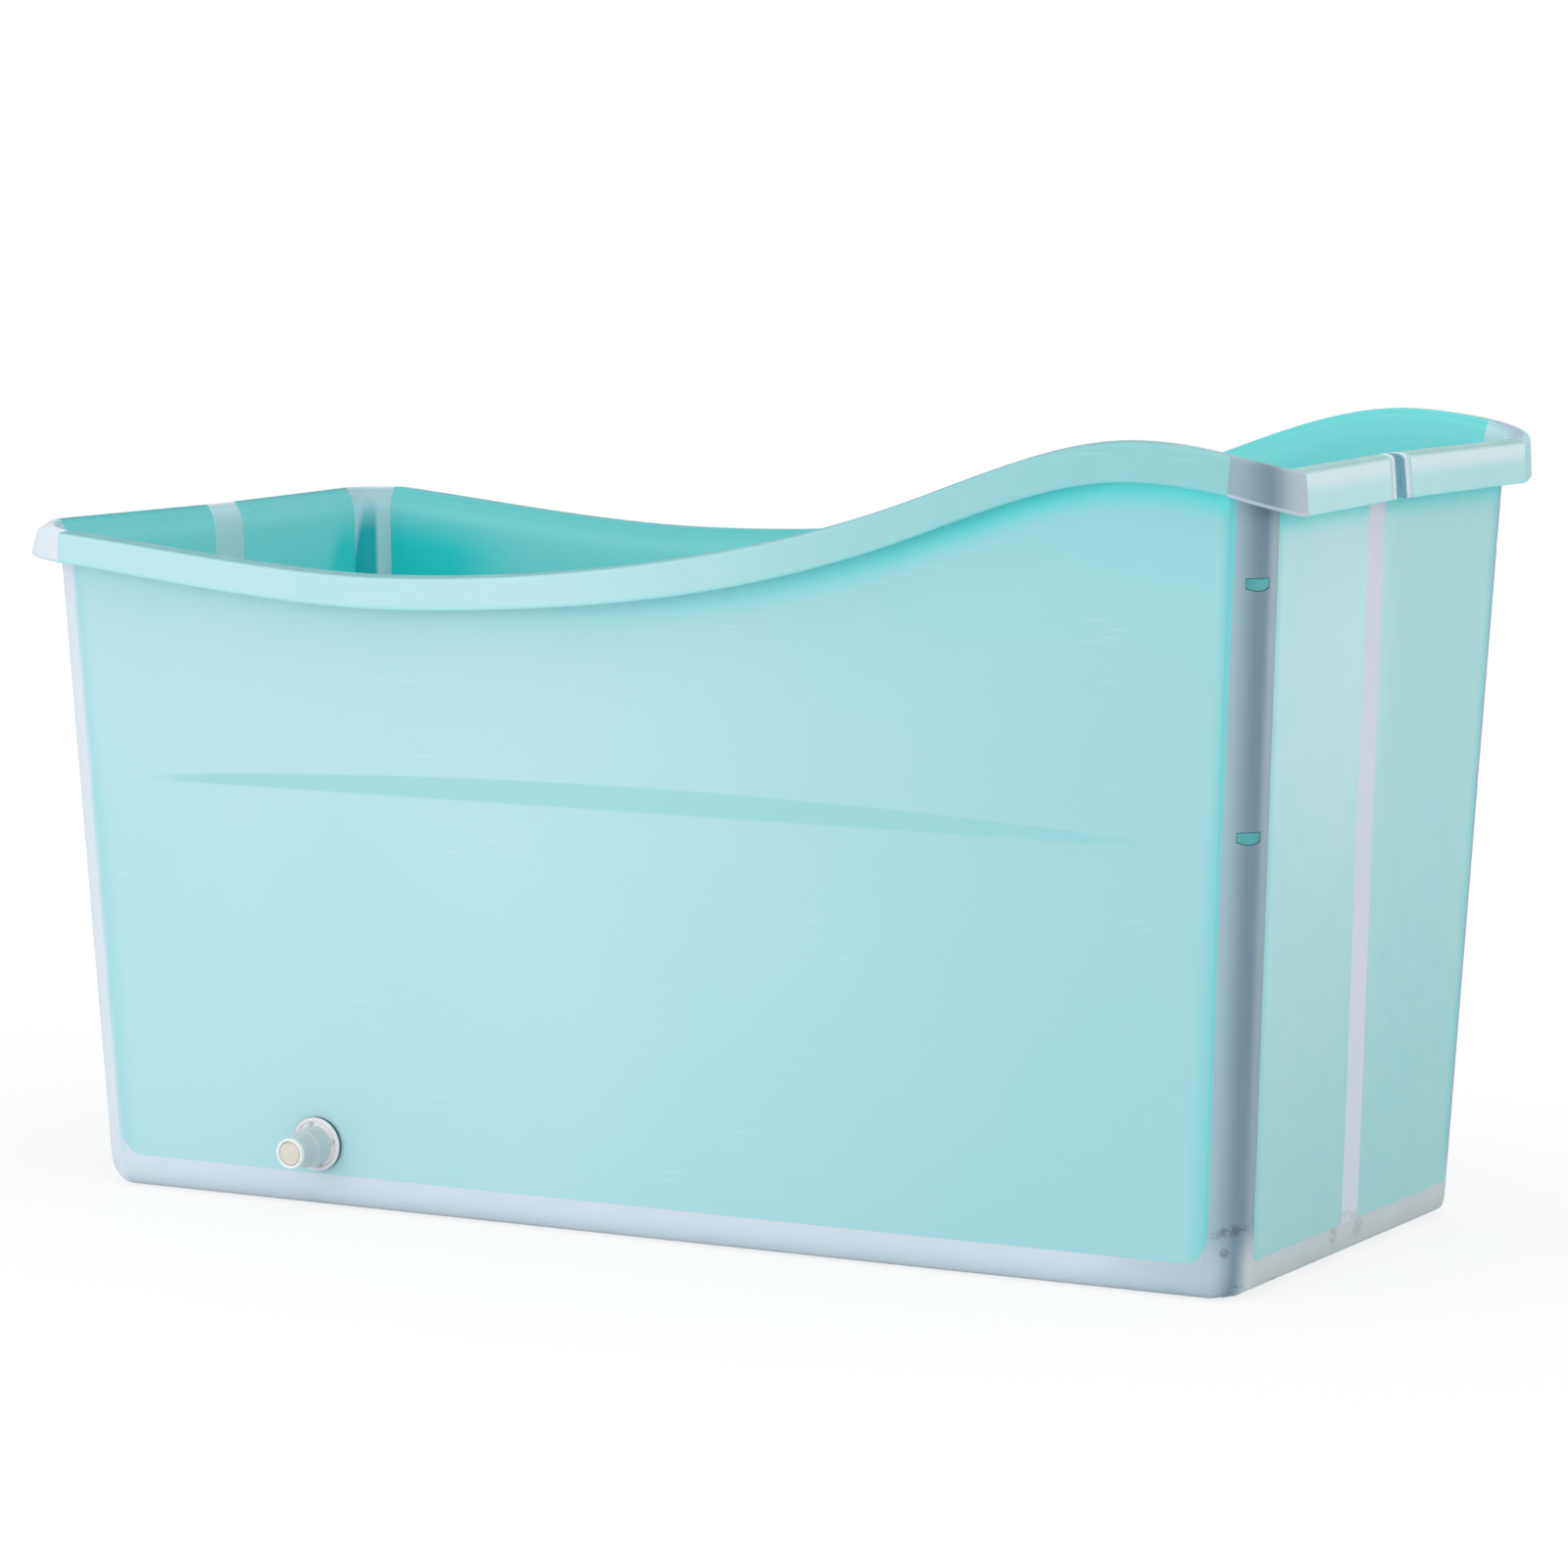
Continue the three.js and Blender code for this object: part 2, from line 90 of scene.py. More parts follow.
def rimHeightAt(x):
    at = min(max(x, rimKnots[0][0]), rimKnots[-1][0])
    right = next(i for i in range(1, len(rimKnots)) if rimKnots[i][0] >= at - 1e-9)
    (x0, z0, slope0), (x1, z1, slope1) = rimKnots[right - 1], rimKnots[right]
    span = x1 - x0
    t = (at - x0) / span
    slopes = slope0 * t * (1 - t) ** 2 + slope1 * t * t * (t - 1)
    return z0 + (z1 - z0) * t * t * (3 - 2 * t) + span * slopes


def smooth(t):
    t = min(max(t, 0.0), 1.0)
    return t * t * (3 - 2 * t)


# The near side's rim sags a little towards the low end
sag = {"depth": 0.0065, "from": 0.10, "to": -0.28}
# Place along the side and depth of the rim's skirt
skirtKnots = ((-0.498, 0.0242), (-0.40, 0.0252), (-0.15, 0.0252), (0.12, 0.0285), (0.498, 0.0295))


def sideRimAt(x, side):
    fall = smooth((sag["from"] - x) / (sag["from"] - sag["to"])) if side < 0 else 0.0
    return rimHeightAt(x) - sag["depth"] * fall


def skirtAt(x):
    x = min(max(x, skirtKnots[0][0]), skirtKnots[-1][0])
    right = next(i for i in range(1, len(skirtKnots)) if skirtKnots[i][0] >= x - 1e-9)
    (x0, s0), (x1, s1) = skirtKnots[right - 1], skirtKnots[right]
    return s0 + (s1 - s0) * smooth((x - x0) / (x1 - x0))


def endTopOf(end):
    return tub["highEnd"] if end > 0 else tub["lowEnd"]


def bend(a, b, c, steps):
    # points on a curve from a to c that leans towards b
    made = []
    for i in range(steps + 1):
        t = i / steps
        places = zip(a, b, c)
        made.append(tuple((1 - t) ** 2 * p + 2 * t * (1 - t) * q + t * t * r for p, q, r in places))
    return made


# Objects and meshes


def addObject(name, data):
    made = bpy.data.objects.new(name, data)
    scene.collection.objects.link(made)
    return made


def workOn(mesh):
    work = bmesh.new()
    work.from_mesh(mesh)
    return work


def settle(work, mesh):
    work.to_mesh(mesh)
    work.free()


def join(work, first, second):
    # a closed band of faces between two rings of points
    made = []
    for i in range(len(first)):
        k = (i + 1) % len(first)
        made.append(work.faces.new((first[i], first[k], second[k], second[i])))
    return made


def objectFrom(name, work):
    mesh = bpy.data.meshes.new(name)
    settle(work, mesh)
    return addObject(name, mesh)


def addMesh(o, other):
    work = workOn(o.data)
    work.from_mesh(other.data)
    settle(work, o.data)


def give(o, finish):
    o.data.materials.clear()
    o.data.materials.append(finish)


# Node helpers


def feed(tree, socket, value):
    # links another node's output to a socket, or sets its value
    if isinstance(value, bpy.types.NodeSocket):
        tree.links.new(value, socket)
    else:
        socket.default_value = value


def live(sockets, name=None):
    # a node's first socket in use, or the one in use of that name
    return next(s for s in sockets if s.enabled and name in (None, s.name))


def addNode(tree, kind, inputs=None, **settings):
    made = tree.nodes.new(kind)
    for name, value in settings.items():
        setattr(made, name, value)
    for key, value in (inputs or {}).items():
        feed(tree, live(made.inputs, key) if isinstance(key, str) else made.inputs[key], value)
    return made


def maths(tree, operation, *values):
    made = addNode(tree, "ShaderNodeMath", operation=operation)
    for socket, value in zip(made.inputs, values):
        feed(tree, socket, value)
    return made.outputs[0]


def times(tree, first, *others):
    for value in others:
        first = maths(tree, "MULTIPLY", first, value)
    return first


def vectorMaths(tree, operation, *values):
    made = addNode(tree, "ShaderNodeVectorMath", operation=operation)
    for socket, value in zip(made.inputs, values):
        feed(tree, socket, value)
    return made.outputs["Value" if operation == "LENGTH" else "Vector"]


def scaled(tree, vector, amount):
    made = addNode(tree, "ShaderNodeVectorMath", {0: vector, "Scale": amount}, operation="SCALE")
    return made.outputs["Vector"]


def otherShape(tree, source, label):
    # mesh of the object that an input names
    inputs = {"Object": source.outputs[label]}
    return addNode(tree, "GeometryNodeObjectInfo", inputs).outputs["Geometry"]


def pointCount(tree, geometry):
    inputs = {"Geometry": geometry}
    size = addNode(tree, "GeometryNodeAttributeDomainSize", inputs, component="MESH")
    return size.outputs["Point Count"]


def named(tree, label, kind="FLOAT"):
    made = addNode(tree, "GeometryNodeInputNamedAttribute", {"Name": label}, data_type=kind)
    return live(made.outputs)


def position(tree):
    return addNode(tree, "GeometryNodeInputPosition").outputs[0]


def sampleAt(tree, geometry, value, kind, index):
    inputs = {"Geometry": geometry, "Value": value, "Index": index}
    made = addNode(tree, "GeometryNodeSampleIndex", inputs, data_type=kind, domain="POINT")
    return live(made.outputs)


def storeValue(tree, geometry, label, value):
    inputs = {"Geometry": geometry, "Name": label, "Value": value}
    settings = {"data_type": "FLOAT", "domain": "POINT"}
    return addNode(tree, "GeometryNodeStoreNamedAttribute", inputs, **settings).outputs[0]


def gridPlaces(tree, across, rows):
    # a grid whose points stand for row j on station i, its last row closing on the first
    line = maths(tree, "ADD", rows, 1.0)
    inputs = {"Vertices X": across, "Vertices Y": line}
    grid = addNode(tree, "GeometryNodeMeshGrid", inputs).outputs["Mesh"]
    index = addNode(tree, "GeometryNodeInputIndex").outputs[0]
    i = maths(tree, "FLOOR", maths(tree, "DIVIDE", maths(tree, "ADD", index, 0.5), line))
    j = maths(tree, "MODULO", maths(tree, "SUBTRACT", index, times(tree, i, line)), rows)
    return grid, index, i, j


def moved(tree, geometry, place):
    inputs = {"Geometry": geometry, "Position": place}
    return addNode(tree, "GeometryNodeSetPosition", inputs).outputs[0]


def merged(tree, geometry, distance):
    inputs = {"Geometry": geometry, "Distance": distance}
    return addNode(tree, "GeometryNodeMergeByDistance", inputs).outputs[0]


def newTree(name, sockets):
    # sockets are name, kind and starting value
    tree = bpy.data.node_groups.new(name, "GeometryNodeTree")
    tree.interface.new_socket("Geometry", in_out="INPUT", socket_type="NodeSocketGeometry")
    tree.interface.new_socket("Geometry", in_out="OUTPUT", socket_type="NodeSocketGeometry")
    for label, kind, value in sockets:
        made = tree.interface.new_socket(label, in_out="INPUT", socket_type=kind)
        if value is not None:
            made.default_value = value
    return tree, tree.nodes.new("NodeGroupInput"), tree.nodes.new("NodeGroupOutput")


def finishTree(tree, geometry, source, output):
    real = addNode(tree, "GeometryNodeRealizeInstances", {"Geometry": geometry})
    inputs = {"Geometry": real.outputs[0], "Material": source.outputs["Finish"]}
    tree.links.new(addNode(tree, "GeometryNodeSetMaterial", inputs).outputs[0], output.inputs[0])


def runTree(carrier, tree, values):
    # sets the tree's inputs by identifier on a new modifier
    modifier = carrier.modifiers.new("shape", "NODES")
    modifier.node_group = tree
    inputs = [item for item in tree.interface.items_tree if item.in_out == "INPUT"]
    identifiers = {item.name: item.identifier for item in inputs}
    for label, value in values.items():
        modifier[identifiers[label]] = value


def evaluatedMesh(o):
    bpy.context.view_layer.update()
    return bpy.data.meshes.new_from_object(o.evaluated_get(bpy.context.evaluated_depsgraph_get()))


def plainMesh(carrier, name):
    # a carrier's evaluated mesh, as an object of its own
    mesh = evaluatedMesh(carrier)
    mesh.name = name
    return addObject(name, mesh)


def drop(*objects):
    for o in objects:
        data = o.data
        bpy.data.objects.remove(o)
        if isinstance(data, bpy.types.Mesh):
            bpy.data.meshes.remove(data)


def tidyNormals(o, angle=38):
    closer = 2e-6
    work = workOn(o.data)
    bmesh.ops.remove_doubles(work, verts=work.verts, dist=closer)
    bmesh.ops.dissolve_degenerate(work, edges=work.edges, dist=closer)
    bmesh.ops.recalc_face_normals(work, faces=work.faces)
    for f in work.faces:
        f.smooth = True
    settle(work, o.data)
    o.data.set_sharp_from_angle(angle=math.radians(angle))


# Wall sections: each row says where its point lies and how it follows the station it stands on

rowNames = ("out", "up", "top", "skirt", "arc", "press", "lean", "narrow")
rowNames += ("turnIn", "turnUp", "lifted", "base")
rowMarks = ("outer", "inside", "under", "facet", "deck")
stationNames = ("rimTop", "rimSkirt", "flare", "deckFall", "facetTop", "pressed")
stationNames += ("footIn", "footUp", "lift", "baseLine", "share")


def row(out=0.0, up=0.0, **more):
    return dict(out=out, up=up, **more)


rim = {
    "flareDrop": 0.026,
    "flareReach": 0.006,
    "flareBend": (0.0006, -0.0075),
    "flareBendInside": (-0.0024, -0.0085),
    "round": 0.0055,
    "flare": 0.003,
    "lowEndFlare": 0.006,
    "lowEndFall": 0.0030,
    "crown": 0.0006,
    "lip": 0.003,
    "underside": 0.004,
    "undersideFall": 0.00075,
    "innerRound": 0.0035,
    "innerCorner": 0.0048,
    "innerDrop": 0.010,
    "skirtRound": 0.0014,
    "skirtTip": 0.004,
    "skirtEdge": 0.0032,
    "skirtMiddle": 0.55,
}


def rimRows():
    # up the flare outside, under the deck, round the skirt, over the deck and down the flare inside
    face, wall, r, crown, lip = tub["overhang"], tub["wall"], rim["round"], rim["crown"], rim["lip"]
    reach, fall = rim["flareReach"], rim["flareDrop"]
    inner = face - wall
    under = -rim["underside"]
    up = bend((0, -fall), rim["flareBend"], (reach + lip, under), 6)
    rows = [row(o, z, top=1) for o, z in up]
    for s in (0.3, 0.6):
        out = (reach + lip) * (1 - s) + (inner - r / 2) * s
        rows.append(row(out, under - rim["undersideFall"] * s, top=1, lean=s, narrow=s, under=1))
    turned = under - rim["undersideFall"]
    knee = (inner, -rim["innerCorner"])
    corner = bend((inner - rim["innerRound"], turned), knee, (inner, -rim["innerDrop"]), 4)
    rows += [row(o, z, top=1, lean=1, narrow=1, under=1) for o, z in corner]
    rows.append(row(inner, rim["skirtTip"], top=1, skirt=-1, lean=1, under=1))
    small, middle = rim["skirtRound"], face - wall / 2
    for i in range(7):
        a = math.pi + math.pi * i / 6
        place = (middle + wall / 2 * math.cos(a), small + small * math.sin(a))
        rows.append(row(*place, top=1, skirt=-1, lean=1, under=0.25))
    rows.append(row(face, rim["skirtEdge"], top=1, skirt=-1, lean=1, narrow=0.1))
    rows.append(row(face, 0, top=1, skirt=-rim["skirtMiddle"], lean=1, narrow=0.5))
    for i in range(7):
        a = math.pi / 2 * i / 6
        place = (face - r + r * math.cos(a), -crown - r + r * math.sin(a))
        rows.append(row(*place, top=1, lean=1, narrow=1, deck=i / 6))
    for s in (0.25, 0.5, 0.75):
        out = (face - r) * (1 - s) + reach * s
        rows.append(row(out, -crown * (1 - s), top=1, lean=1 - s, narrow=1 - s, deck=1))
    for i in range(5):
        a = math.pi / 2 * (1 + i / 4)
        place = (reach + lip * math.cos(a), -lip + lip * math.sin(a))
        rows.append(row(*place, top=1, inside=i / 4, deck=1 - i / 4))
    down = bend((reach - lip, -lip), rim["flareBendInside"], (-wall, -fall), 6)[1:]
    rows += [row(o, z, top=1, inside=1) for o, z in down]
    return rows


sideField = {
    "halfLength": 0.440,
    "line": 0.328,
    "rise": 0.019,
    "tip": 0.0036,
    "fade": 0.30,
    "depth": 0.0025,
    "cornerRound": 0.016,
    "edges": (-0.0012, 0.0004, -0.0012, 0.0008),
}


def fieldRows(inner):
    # the pressed field under its crescent facet, from the lower edge to below the flare
    line = sideField["line"]
    below, above, underTop, overTop = sideField["edges"]
    out = -tub["wall"] if inner else 0.0
    mark = 1 if inner else 0
    rows = [row(out, 0, base=1, inside=mark)]
    for s in (0.25, 0.5, 0.75, 0.93):
        rows.append(row(out, line * s, base=1 - s, press=s, inside=mark))
    rows.append(row(out, line + below, press=0.99, inside=mark))
    rows.append(row(out, line + above, press=0.97, inside=mark, facet=1))
    rows.append(row(out, line / 2, arc=0.5, press=0.46, inside=mark, facet=1))
    rows.append(row(out, underTop, arc=1, press=0.03, inside=mark, facet=1))
    rows.append(row(out, overTop, arc=1, inside=mark))
    for s in (0.3, 0.6, 0.85):
        rows.append(row(out, -rim["flareDrop"] * s, arc=1 - s, top=s, inside=mark))
    return rows


def plainRows(inner, steps=9):
    out, mark = (-tub["wall"], 1) if inner else (0.0, 0)
    shares = [i / steps for i in range(steps)]
    return [row(out, -rim["flareDrop"] * s, base=1 - s, top=s, inside=mark) for s in shares]


def footRows(inner, steps=7):
    # turned-in foot, from the floor side up to the wall, on its outside or its inside
    thick, mark = (tub["wall"], 1) if inner else (0, 0)
    rows = []
    for i in range(steps + 1):
        a = math.pi / 2 * (1 - i / steps)
        c, s = math.cos(a), math.sin(a)
        rows.append(row(-thick * c, thick * s, turnIn=c - 1, turnUp=1 - s, lifted=s, inside=mark))
    return rows


def sideSection():
    return fieldRows(False) + rimRows() + fieldRows(True)[::-1]


def endSection():
    return plainRows(False) + rimRows() + plainRows(True)[::-1]


def cornerSection():
    outside = footRows(False) + plainRows(False)[1:]
    return outside + rimRows() + plainRows(True)[:0:-1] + footRows(True)[::-1]


def bandSection():
    lift = -tub["seam"]
    top = [row(0, lift, base=1), row(-tub["wall"], lift, base=1, inside=1)]
    return footRows(False) + top + footRows(True)[::-1]


def withOuter(section, top):
    # how far each row lies towards the skirt, for strips that widen over the rim
    face = tub["overhang"] - tub["draft"] * top
    for r in section:
        out = r["out"] - r.get("lean", 0) * tub["draft"] * top
        r["outer"] = min(max((out - rim["flareReach"]) / (face - rim["flareReach"]), 0), 1)
    return section


# Stations: where along the tub a section stands, which way the wall leans and faces there


def endSkirtOf(end):
    return tub["highSkirt"] if end > 0 else tub["lowSkirt"] - rim["lowEndFall"]


def station(place, lean, face, slide=(0, 0, 0), **more):
    return dict(place=place, lean=lean, face=face, slide=slide, **more)


# how the rim's skirt shifts along itself where side, corner and end meet
rimSlide = {
    "side": 0.0065,
    "sideFrom": 0.86,
    "nearTip": 0.005,
    "farTip": -0.003,
    "tuck": 0.005,
    "lowEnd": 0.0015,
}


def tipSlide(side):
    return rimSlide["nearTip"] if side < 0 else rimSlide["farTip"]


def cornerRise(inward, r):
    # how much a rounded lower corner lifts the edge at a distance from the corner
    return r - math.sqrt(max(r * r - (r - inward) ** 2, 0)) if inward < r else 0.0


def sideSharesAndBase():
    # shares along the side, with the lower edge's rise into its rounded corners
    reach = cornerMiddle[0] - tub["seam"]
    r = sideField["cornerRound"]
    pitch, last, endPitch, straightEnd, least = 0.0118, 0.447, 0.006, 0.018, 2e-4
    near = [reach - r * (1 - math.cos(math.pi / 2 * i / 9)) for i in range(10)]
    fieldEnd = [sideField["halfLength"] - endPitch * i for i in range(4)]
    even = [i * pitch for i in range(1, 38) if i * pitch < last]
    xs = sorted(set(near + [reach - straightEnd] + fieldEnd + even))
    kept = [x for i, x in enumerate(xs) if i == 0 or x - xs[i - 1] > least or x == reach]
    whole = [-x for x in reversed(kept)] + [0.0] + kept
    return [(x / reach, cornerRise(reach - abs(x), r)) for x in whole]


# how far the foot of each wall turns in and up, and how far a strip runs along its end wall
cornerFoot = {
    "sideIn": 0.012,
    "middleIn": 0.0118,
    "endIn": 0.009,
    "middleUp": 0.024,
    "alongEnd": 0.006,
    "bandRise": 0.010,
}


def sideStations(side):
    reach = cornerMiddle[0] - tub["seam"]
    slideFrom, field = rimSlide["sideFrom"], sideField
    made = []
    for share, rise in sideSharesAndBase():
        x = share * (reach + tub["draft"] * field["line"])
        swell = max(1 - (x / field["halfLength"]) ** 2, 0)
        made.append(
            station(
                (share * reach, side * tub["halfWidth"], 0),
                (share * tub["draft"], side * tub["draft"], 1),
                (0, side, 0),
                (rimSlide["side"] * smooth((share - slideFrom) / (1 - slideFrom)), 0, 0),
                rimTop=sideRimAt(share * tub["rimReach"], side),
                rimSkirt=skirtAt(share * tub["rimReach"]),
                flare=rim["flare"],
                facetTop=field["line"] + field["tip"] + (field["rise"] - field["tip"]) * swell,
                pressed=smooth(swell / field["fade"]),
                footIn=cornerFoot["sideIn"],
                footUp=cornerFoot["sideIn"],
                baseLine=tub["sideBand"] + tub["seam"] + rise,
                share=share,
            )
        )
    return made


def endReach(end, side):
    # the near strip of the high end runs a little way along its end wall
    return cornerFoot["alongEnd"] if end > 0 and side < 0 else 0.0


def cornerStations(end, side, first=0.0, last=1.0, steps=14, **fixed):
    # share 0 meets the end wall and share 1 the long side
    made = []
    endTop, endSkirt = endTopOf(end), endSkirtOf(end)
    sideTop, sideSkirt = sideRimAt(end * tub["rimReach"], side), skirtAt(end * tub["rimReach"])
    places = [(first + (last - first) * i / steps, 0.0) for i in range(steps + 1)]
    if first == 0.0 and endReach(end, side):
        places = [(0.0, endReach(end, side) * past) for past in (1, 0.5)] + places
    for share, past in places:
        turn = math.pi / 2 * share
        middle = math.sin(turn * 2) ** 2
        foot = cornerFoot["endIn"] + (cornerFoot["sideIn"] - cornerFoot["endIn"]) * smooth(share)
        lowShare = 1 - smooth(share) if end < 0 else 0.0
        slide = (rimSlide["lowEnd"] * lowShare, 0, 0)
        if end > 0:
            # 27 / 4 makes the tuck the greatest value of the curve below
            tuck = rimSlide["tuck"] * 27 / 4 if side < 0 else 0.0
            across = rimSlide["side"] * share - tuck * share * (1 - share) ** 2
            slide = (across, -side * tipSlide(side) * (1 - share) ** 1.5, 0)
        values = dict(
            rimTop=endTop + (sideTop - endTop) * share,
            rimSkirt=endSkirt + (sideSkirt - endSkirt) * share,
            flare=rim["flare"] + lowShare * (rim["lowEndFlare"] - rim["flare"]),
            deckFall=lowShare * rim["lowEndFall"],
            facetTop=0,
            pressed=0,
            footIn=foot + (cornerFoot["middleIn"] - foot) * middle,
            footUp=foot + (cornerFoot["middleUp"] - foot) * middle,
            lift=tub["endLift"] * (1 - smooth(share)),
            baseLine=tub["sideBand"] + cornerFoot["bandRise"],
            share=share,
        )
        for key, value in fixed.items():
            values[key] = value(share) if callable(value) else value
        x = cornerMiddle[0] + tub["corner"] * math.cos(turn)
        y = cornerMiddle[1] + tub["corner"] * math.sin(turn) - past
        made.append(
            station(
                (end * x, side * y, 0),
                (end * tub["draft"], side * tub["draft"], 1),
                (end * math.cos(turn), side * math.sin(turn), 0),
                slide,
                **values,
            )
        )
    return made


def endStation(end, y, leanY, slideY, rise=0.0, share=0.0):
    high, top = end > 0, endTopOf(end)
    far = cornerMiddle[1] - endReach(end, -1 if y < 0 else 1)
    bow = tub["bow"] / top * (1 - min(abs(y) / far, 1))
    return station(
        (end * tub["halfLength"], y, 0),
        (end * (tub["draft"] - bow), leanY, 1),
        (end, 0, 0),
        (0 if high else rimSlide["lowEnd"], slideY, 0),
        rimTop=top,
        rimSkirt=endSkirtOf(end),
        flare=rim["flare"] if high else rim["lowEndFlare"],
        deckFall=0 if high else rim["lowEndFall"],
        facetTop=0,
        pressed=0,
        footIn=cornerFoot["endIn"],
        footUp=cornerFoot["endIn"],
        lift=tub["endLift"],
        baseLine=tub["endBand"] + tub["seam"] + rise,
        share=share,
    )


strips = {
    "lowHalf": 0.020,
    "highHalf": 0.015,
    "widening": 0.005,
    "stripRound": 0.008,
    "cornerRound": 0.004,
}
quarter = [1 - math.cos(math.pi / 2 * i / 6) for i in range(7)]


def stripHalf(end):
    return strips["highHalf"] if end > 0 else strips["lowHalf"]


def endPanelStations(end, side):
    far = cornerMiddle[1] - tub["seam"] - endReach(end, side)
    near = stripHalf(end) + tub["seam"]
    wide = far - near
    outerRound, innerRound = strips["cornerRound"], strips["stripRound"]
    middle = [outerRound + (wide - outerRound - innerRound) * i / 13 for i in range(1, 13)]
    inwards = [outerRound * q for q in quarter] + middle
    inwards += [wide - innerRound * q for q in reversed(quarter)]
    tip = tipSlide(side) if end > 0 else 0.0
    made = []
    for d in inwards:
        s = d / wide
        rise = cornerRise(d, outerRound) + cornerRise(wide - d, innerRound)
        slide = side * (strips["widening"] * s - tip * (1 - s))
        lean = side * tub["draft"] * (1 - s)
        made.append(endStation(end, side * (far - d), lean, slide, rise, 1 - s))
    return made


def stripStations(end, steps=10):
    half = stripHalf(end)
    made = []
    for i in range(steps + 1):
        c = 2 * i / steps - 1
        made.append(endStation(end, c * half, 0, c * strips["widening"], share=c))
    return made


def endBandStations(end):
    half = stripHalf(end)
    outerRound, innerRound = strips["cornerRound"], strips["stripRound"]

    def reachOn(side):
        return cornerMiddle[1] - tub["seam"] - endReach(end, side)

    def placesOn(side):
        far = reachOn(side)
        ys = [half + innerRound * q for q in quarter]
        flat = far - half - innerRound - outerRound
        ys += [half + innerRound + flat * i / 8 for i in range(1, 8)]
        return ys + [far - outerRound * q for q in reversed(quarter)]

    whole = [-y for y in reversed(placesOn(-1))] + [-half * 0.5, 0.0, half * 0.5] + placesOn(1)
    made = []
    for y in whole:
        a, far = abs(y), reachOn(-1 if y < 0 else 1)
        rise = innerRound
        if a >= half:
            rise = cornerRise(far - a, outerRound) + cornerRise(a - half, innerRound)
        lean = tub["draft"] * (a - half) / (far - half) if a > half else 0.0
        made.append(endStation(end, y, math.copysign(lean, y), 0, rise, y / far))
    return made


# Sweeps a section along its stations


def sweepTree():
    tree, source, output = newTree(
        "wallSweep",
        (
            ("Section", "NodeSocketObject", None),
            ("Draft", "NodeSocketFloat", tub["draft"]),
            ("Press Depth", "NodeSocketFloat", sideField["depth"]),
            ("Finish", "NodeSocketMaterial", None),
        ),
    )
    rows, stations = otherShape(tree, source, "Section"), source.outputs["Geometry"]

    def pointAt(i, j):
        # place of row j on station i, with the values that the finishes use
        def stationValue(key, kind="FLOAT"):
            return sampleAt(tree, stations, named(tree, key, kind), kind, i)

        s = {key: stationValue(key) for key in stationNames}
        v = {key: stationValue(key, "FLOAT_VECTOR") for key in ("lean", "face", "slide")}
        v["place"] = sampleAt(tree, stations, position(tree), "FLOAT_VECTOR", i)
        r = {key: sampleAt(tree, rows, named(tree, key), "FLOAT", j) for key in rowNames + rowMarks}
        up = r["up"]
        for share, value in (
            ("top", "rimTop"),
            ("skirt", "rimSkirt"),
            ("arc", "facetTop"),
            ("turnUp", "footUp"),
            ("lifted", "lift"),
            ("base", "baseLine"),
        ):
            up = maths(tree, "MULTIPLY_ADD", r[share], s[value], up)
        deckFall = times(tree, maths(tree, "POWER", r["lean"], 4.0), s["deckFall"])
        up = maths(tree, "SUBTRACT", up, deckFall)
        out = maths(tree, "MULTIPLY_ADD", r["turnIn"], s["footIn"], r["out"])
        out = maths(tree, "SUBTRACT", out, times(tree, r["narrow"], s["flare"]))
        leaning = times(tree, r["lean"], s["rimTop"], source.outputs["Draft"])
        pressing = times(tree, r["press"], s["pressed"], source.outputs["Press Depth"])
        out = maths(tree, "SUBTRACT", maths(tree, "SUBTRACT", out, leaning), pressing)
        place = vectorMaths(tree, "ADD", v["place"], scaled(tree, v["lean"], up))
        place = vectorMaths(tree, "ADD", place, scaled(tree, v["face"], out))
        place = vectorMaths(tree, "ADD", place, scaled(tree, v["slide"], r["outer"]))
        fall = maths(tree, "SUBTRACT", s["rimTop"], up)
        marks = {key: r[key] for key in rowMarks}
        marks["facet"] = times(tree, r["facet"], s["pressed"])
        return place, {**marks, "share": s["share"], "fall": fall}

    def placed(geometry, i, j):
        place, values = pointAt(i, j)
        for key, value in values.items():
            geometry = storeValue(tree, geometry, key, value)
        return moved(tree, geometry, place)

    across = pointCount(tree, stations)
    grid, index, i, j = gridPlaces(tree, across, pointCount(tree, rows))
    shell = placed(grid, i, j)
    firstCap = placed(rows, 0, index)
    lastCap = placed(rows, maths(tree, "SUBTRACT", across, 1.0), index)
    joined = addNode(tree, "GeometryNodeJoinGeometry")
    for part in (shell, firstCap, lastCap):
        tree.links.new(part, joined.inputs[0])
    finishTree(tree, merged(tree, joined.outputs[0], 1e-5), source, output)
    return tree


sweep = sweepTree()


def markTree():
    # reads a cut piece's marks again from its uncut form
    tree, source, output = newTree("freshMarks", (("Uncut", "NodeSocketObject", None),))
    whole, made = otherShape(tree, source, "Uncut"), source.outputs["Geometry"]
    for key in rowMarks + ("share", "fall"):
        inputs = {"Mesh": whole, "Value": named(tree, key)}
        near = addNode(tree, "GeometryNodeSampleNearestSurface", inputs, data_type="FLOAT")
        made = storeValue(tree, made, key, live(near.outputs, "Value"))
    tree.links.new(made, output.inputs[0])
    return tree


freshMarks = markTree()


def holdValues(mesh, names, items):
    for key in names:
        values = [item.get(key, 0.0) for item in items]
        mesh.attributes.new(key, "FLOAT", "POINT").data.foreach_set("value", values)


def sectionObject(rows):
    mesh = bpy.data.meshes.new("sectionRows")
    places = [(r["out"], 0, r["up"] + r.get("top", 0)) for r in rows]
    mesh.from_pydata(places, [], [list(range(len(rows)))])
    holdValues(mesh, rowNames + rowMarks, rows)
    return addObject("sectionRows", mesh)


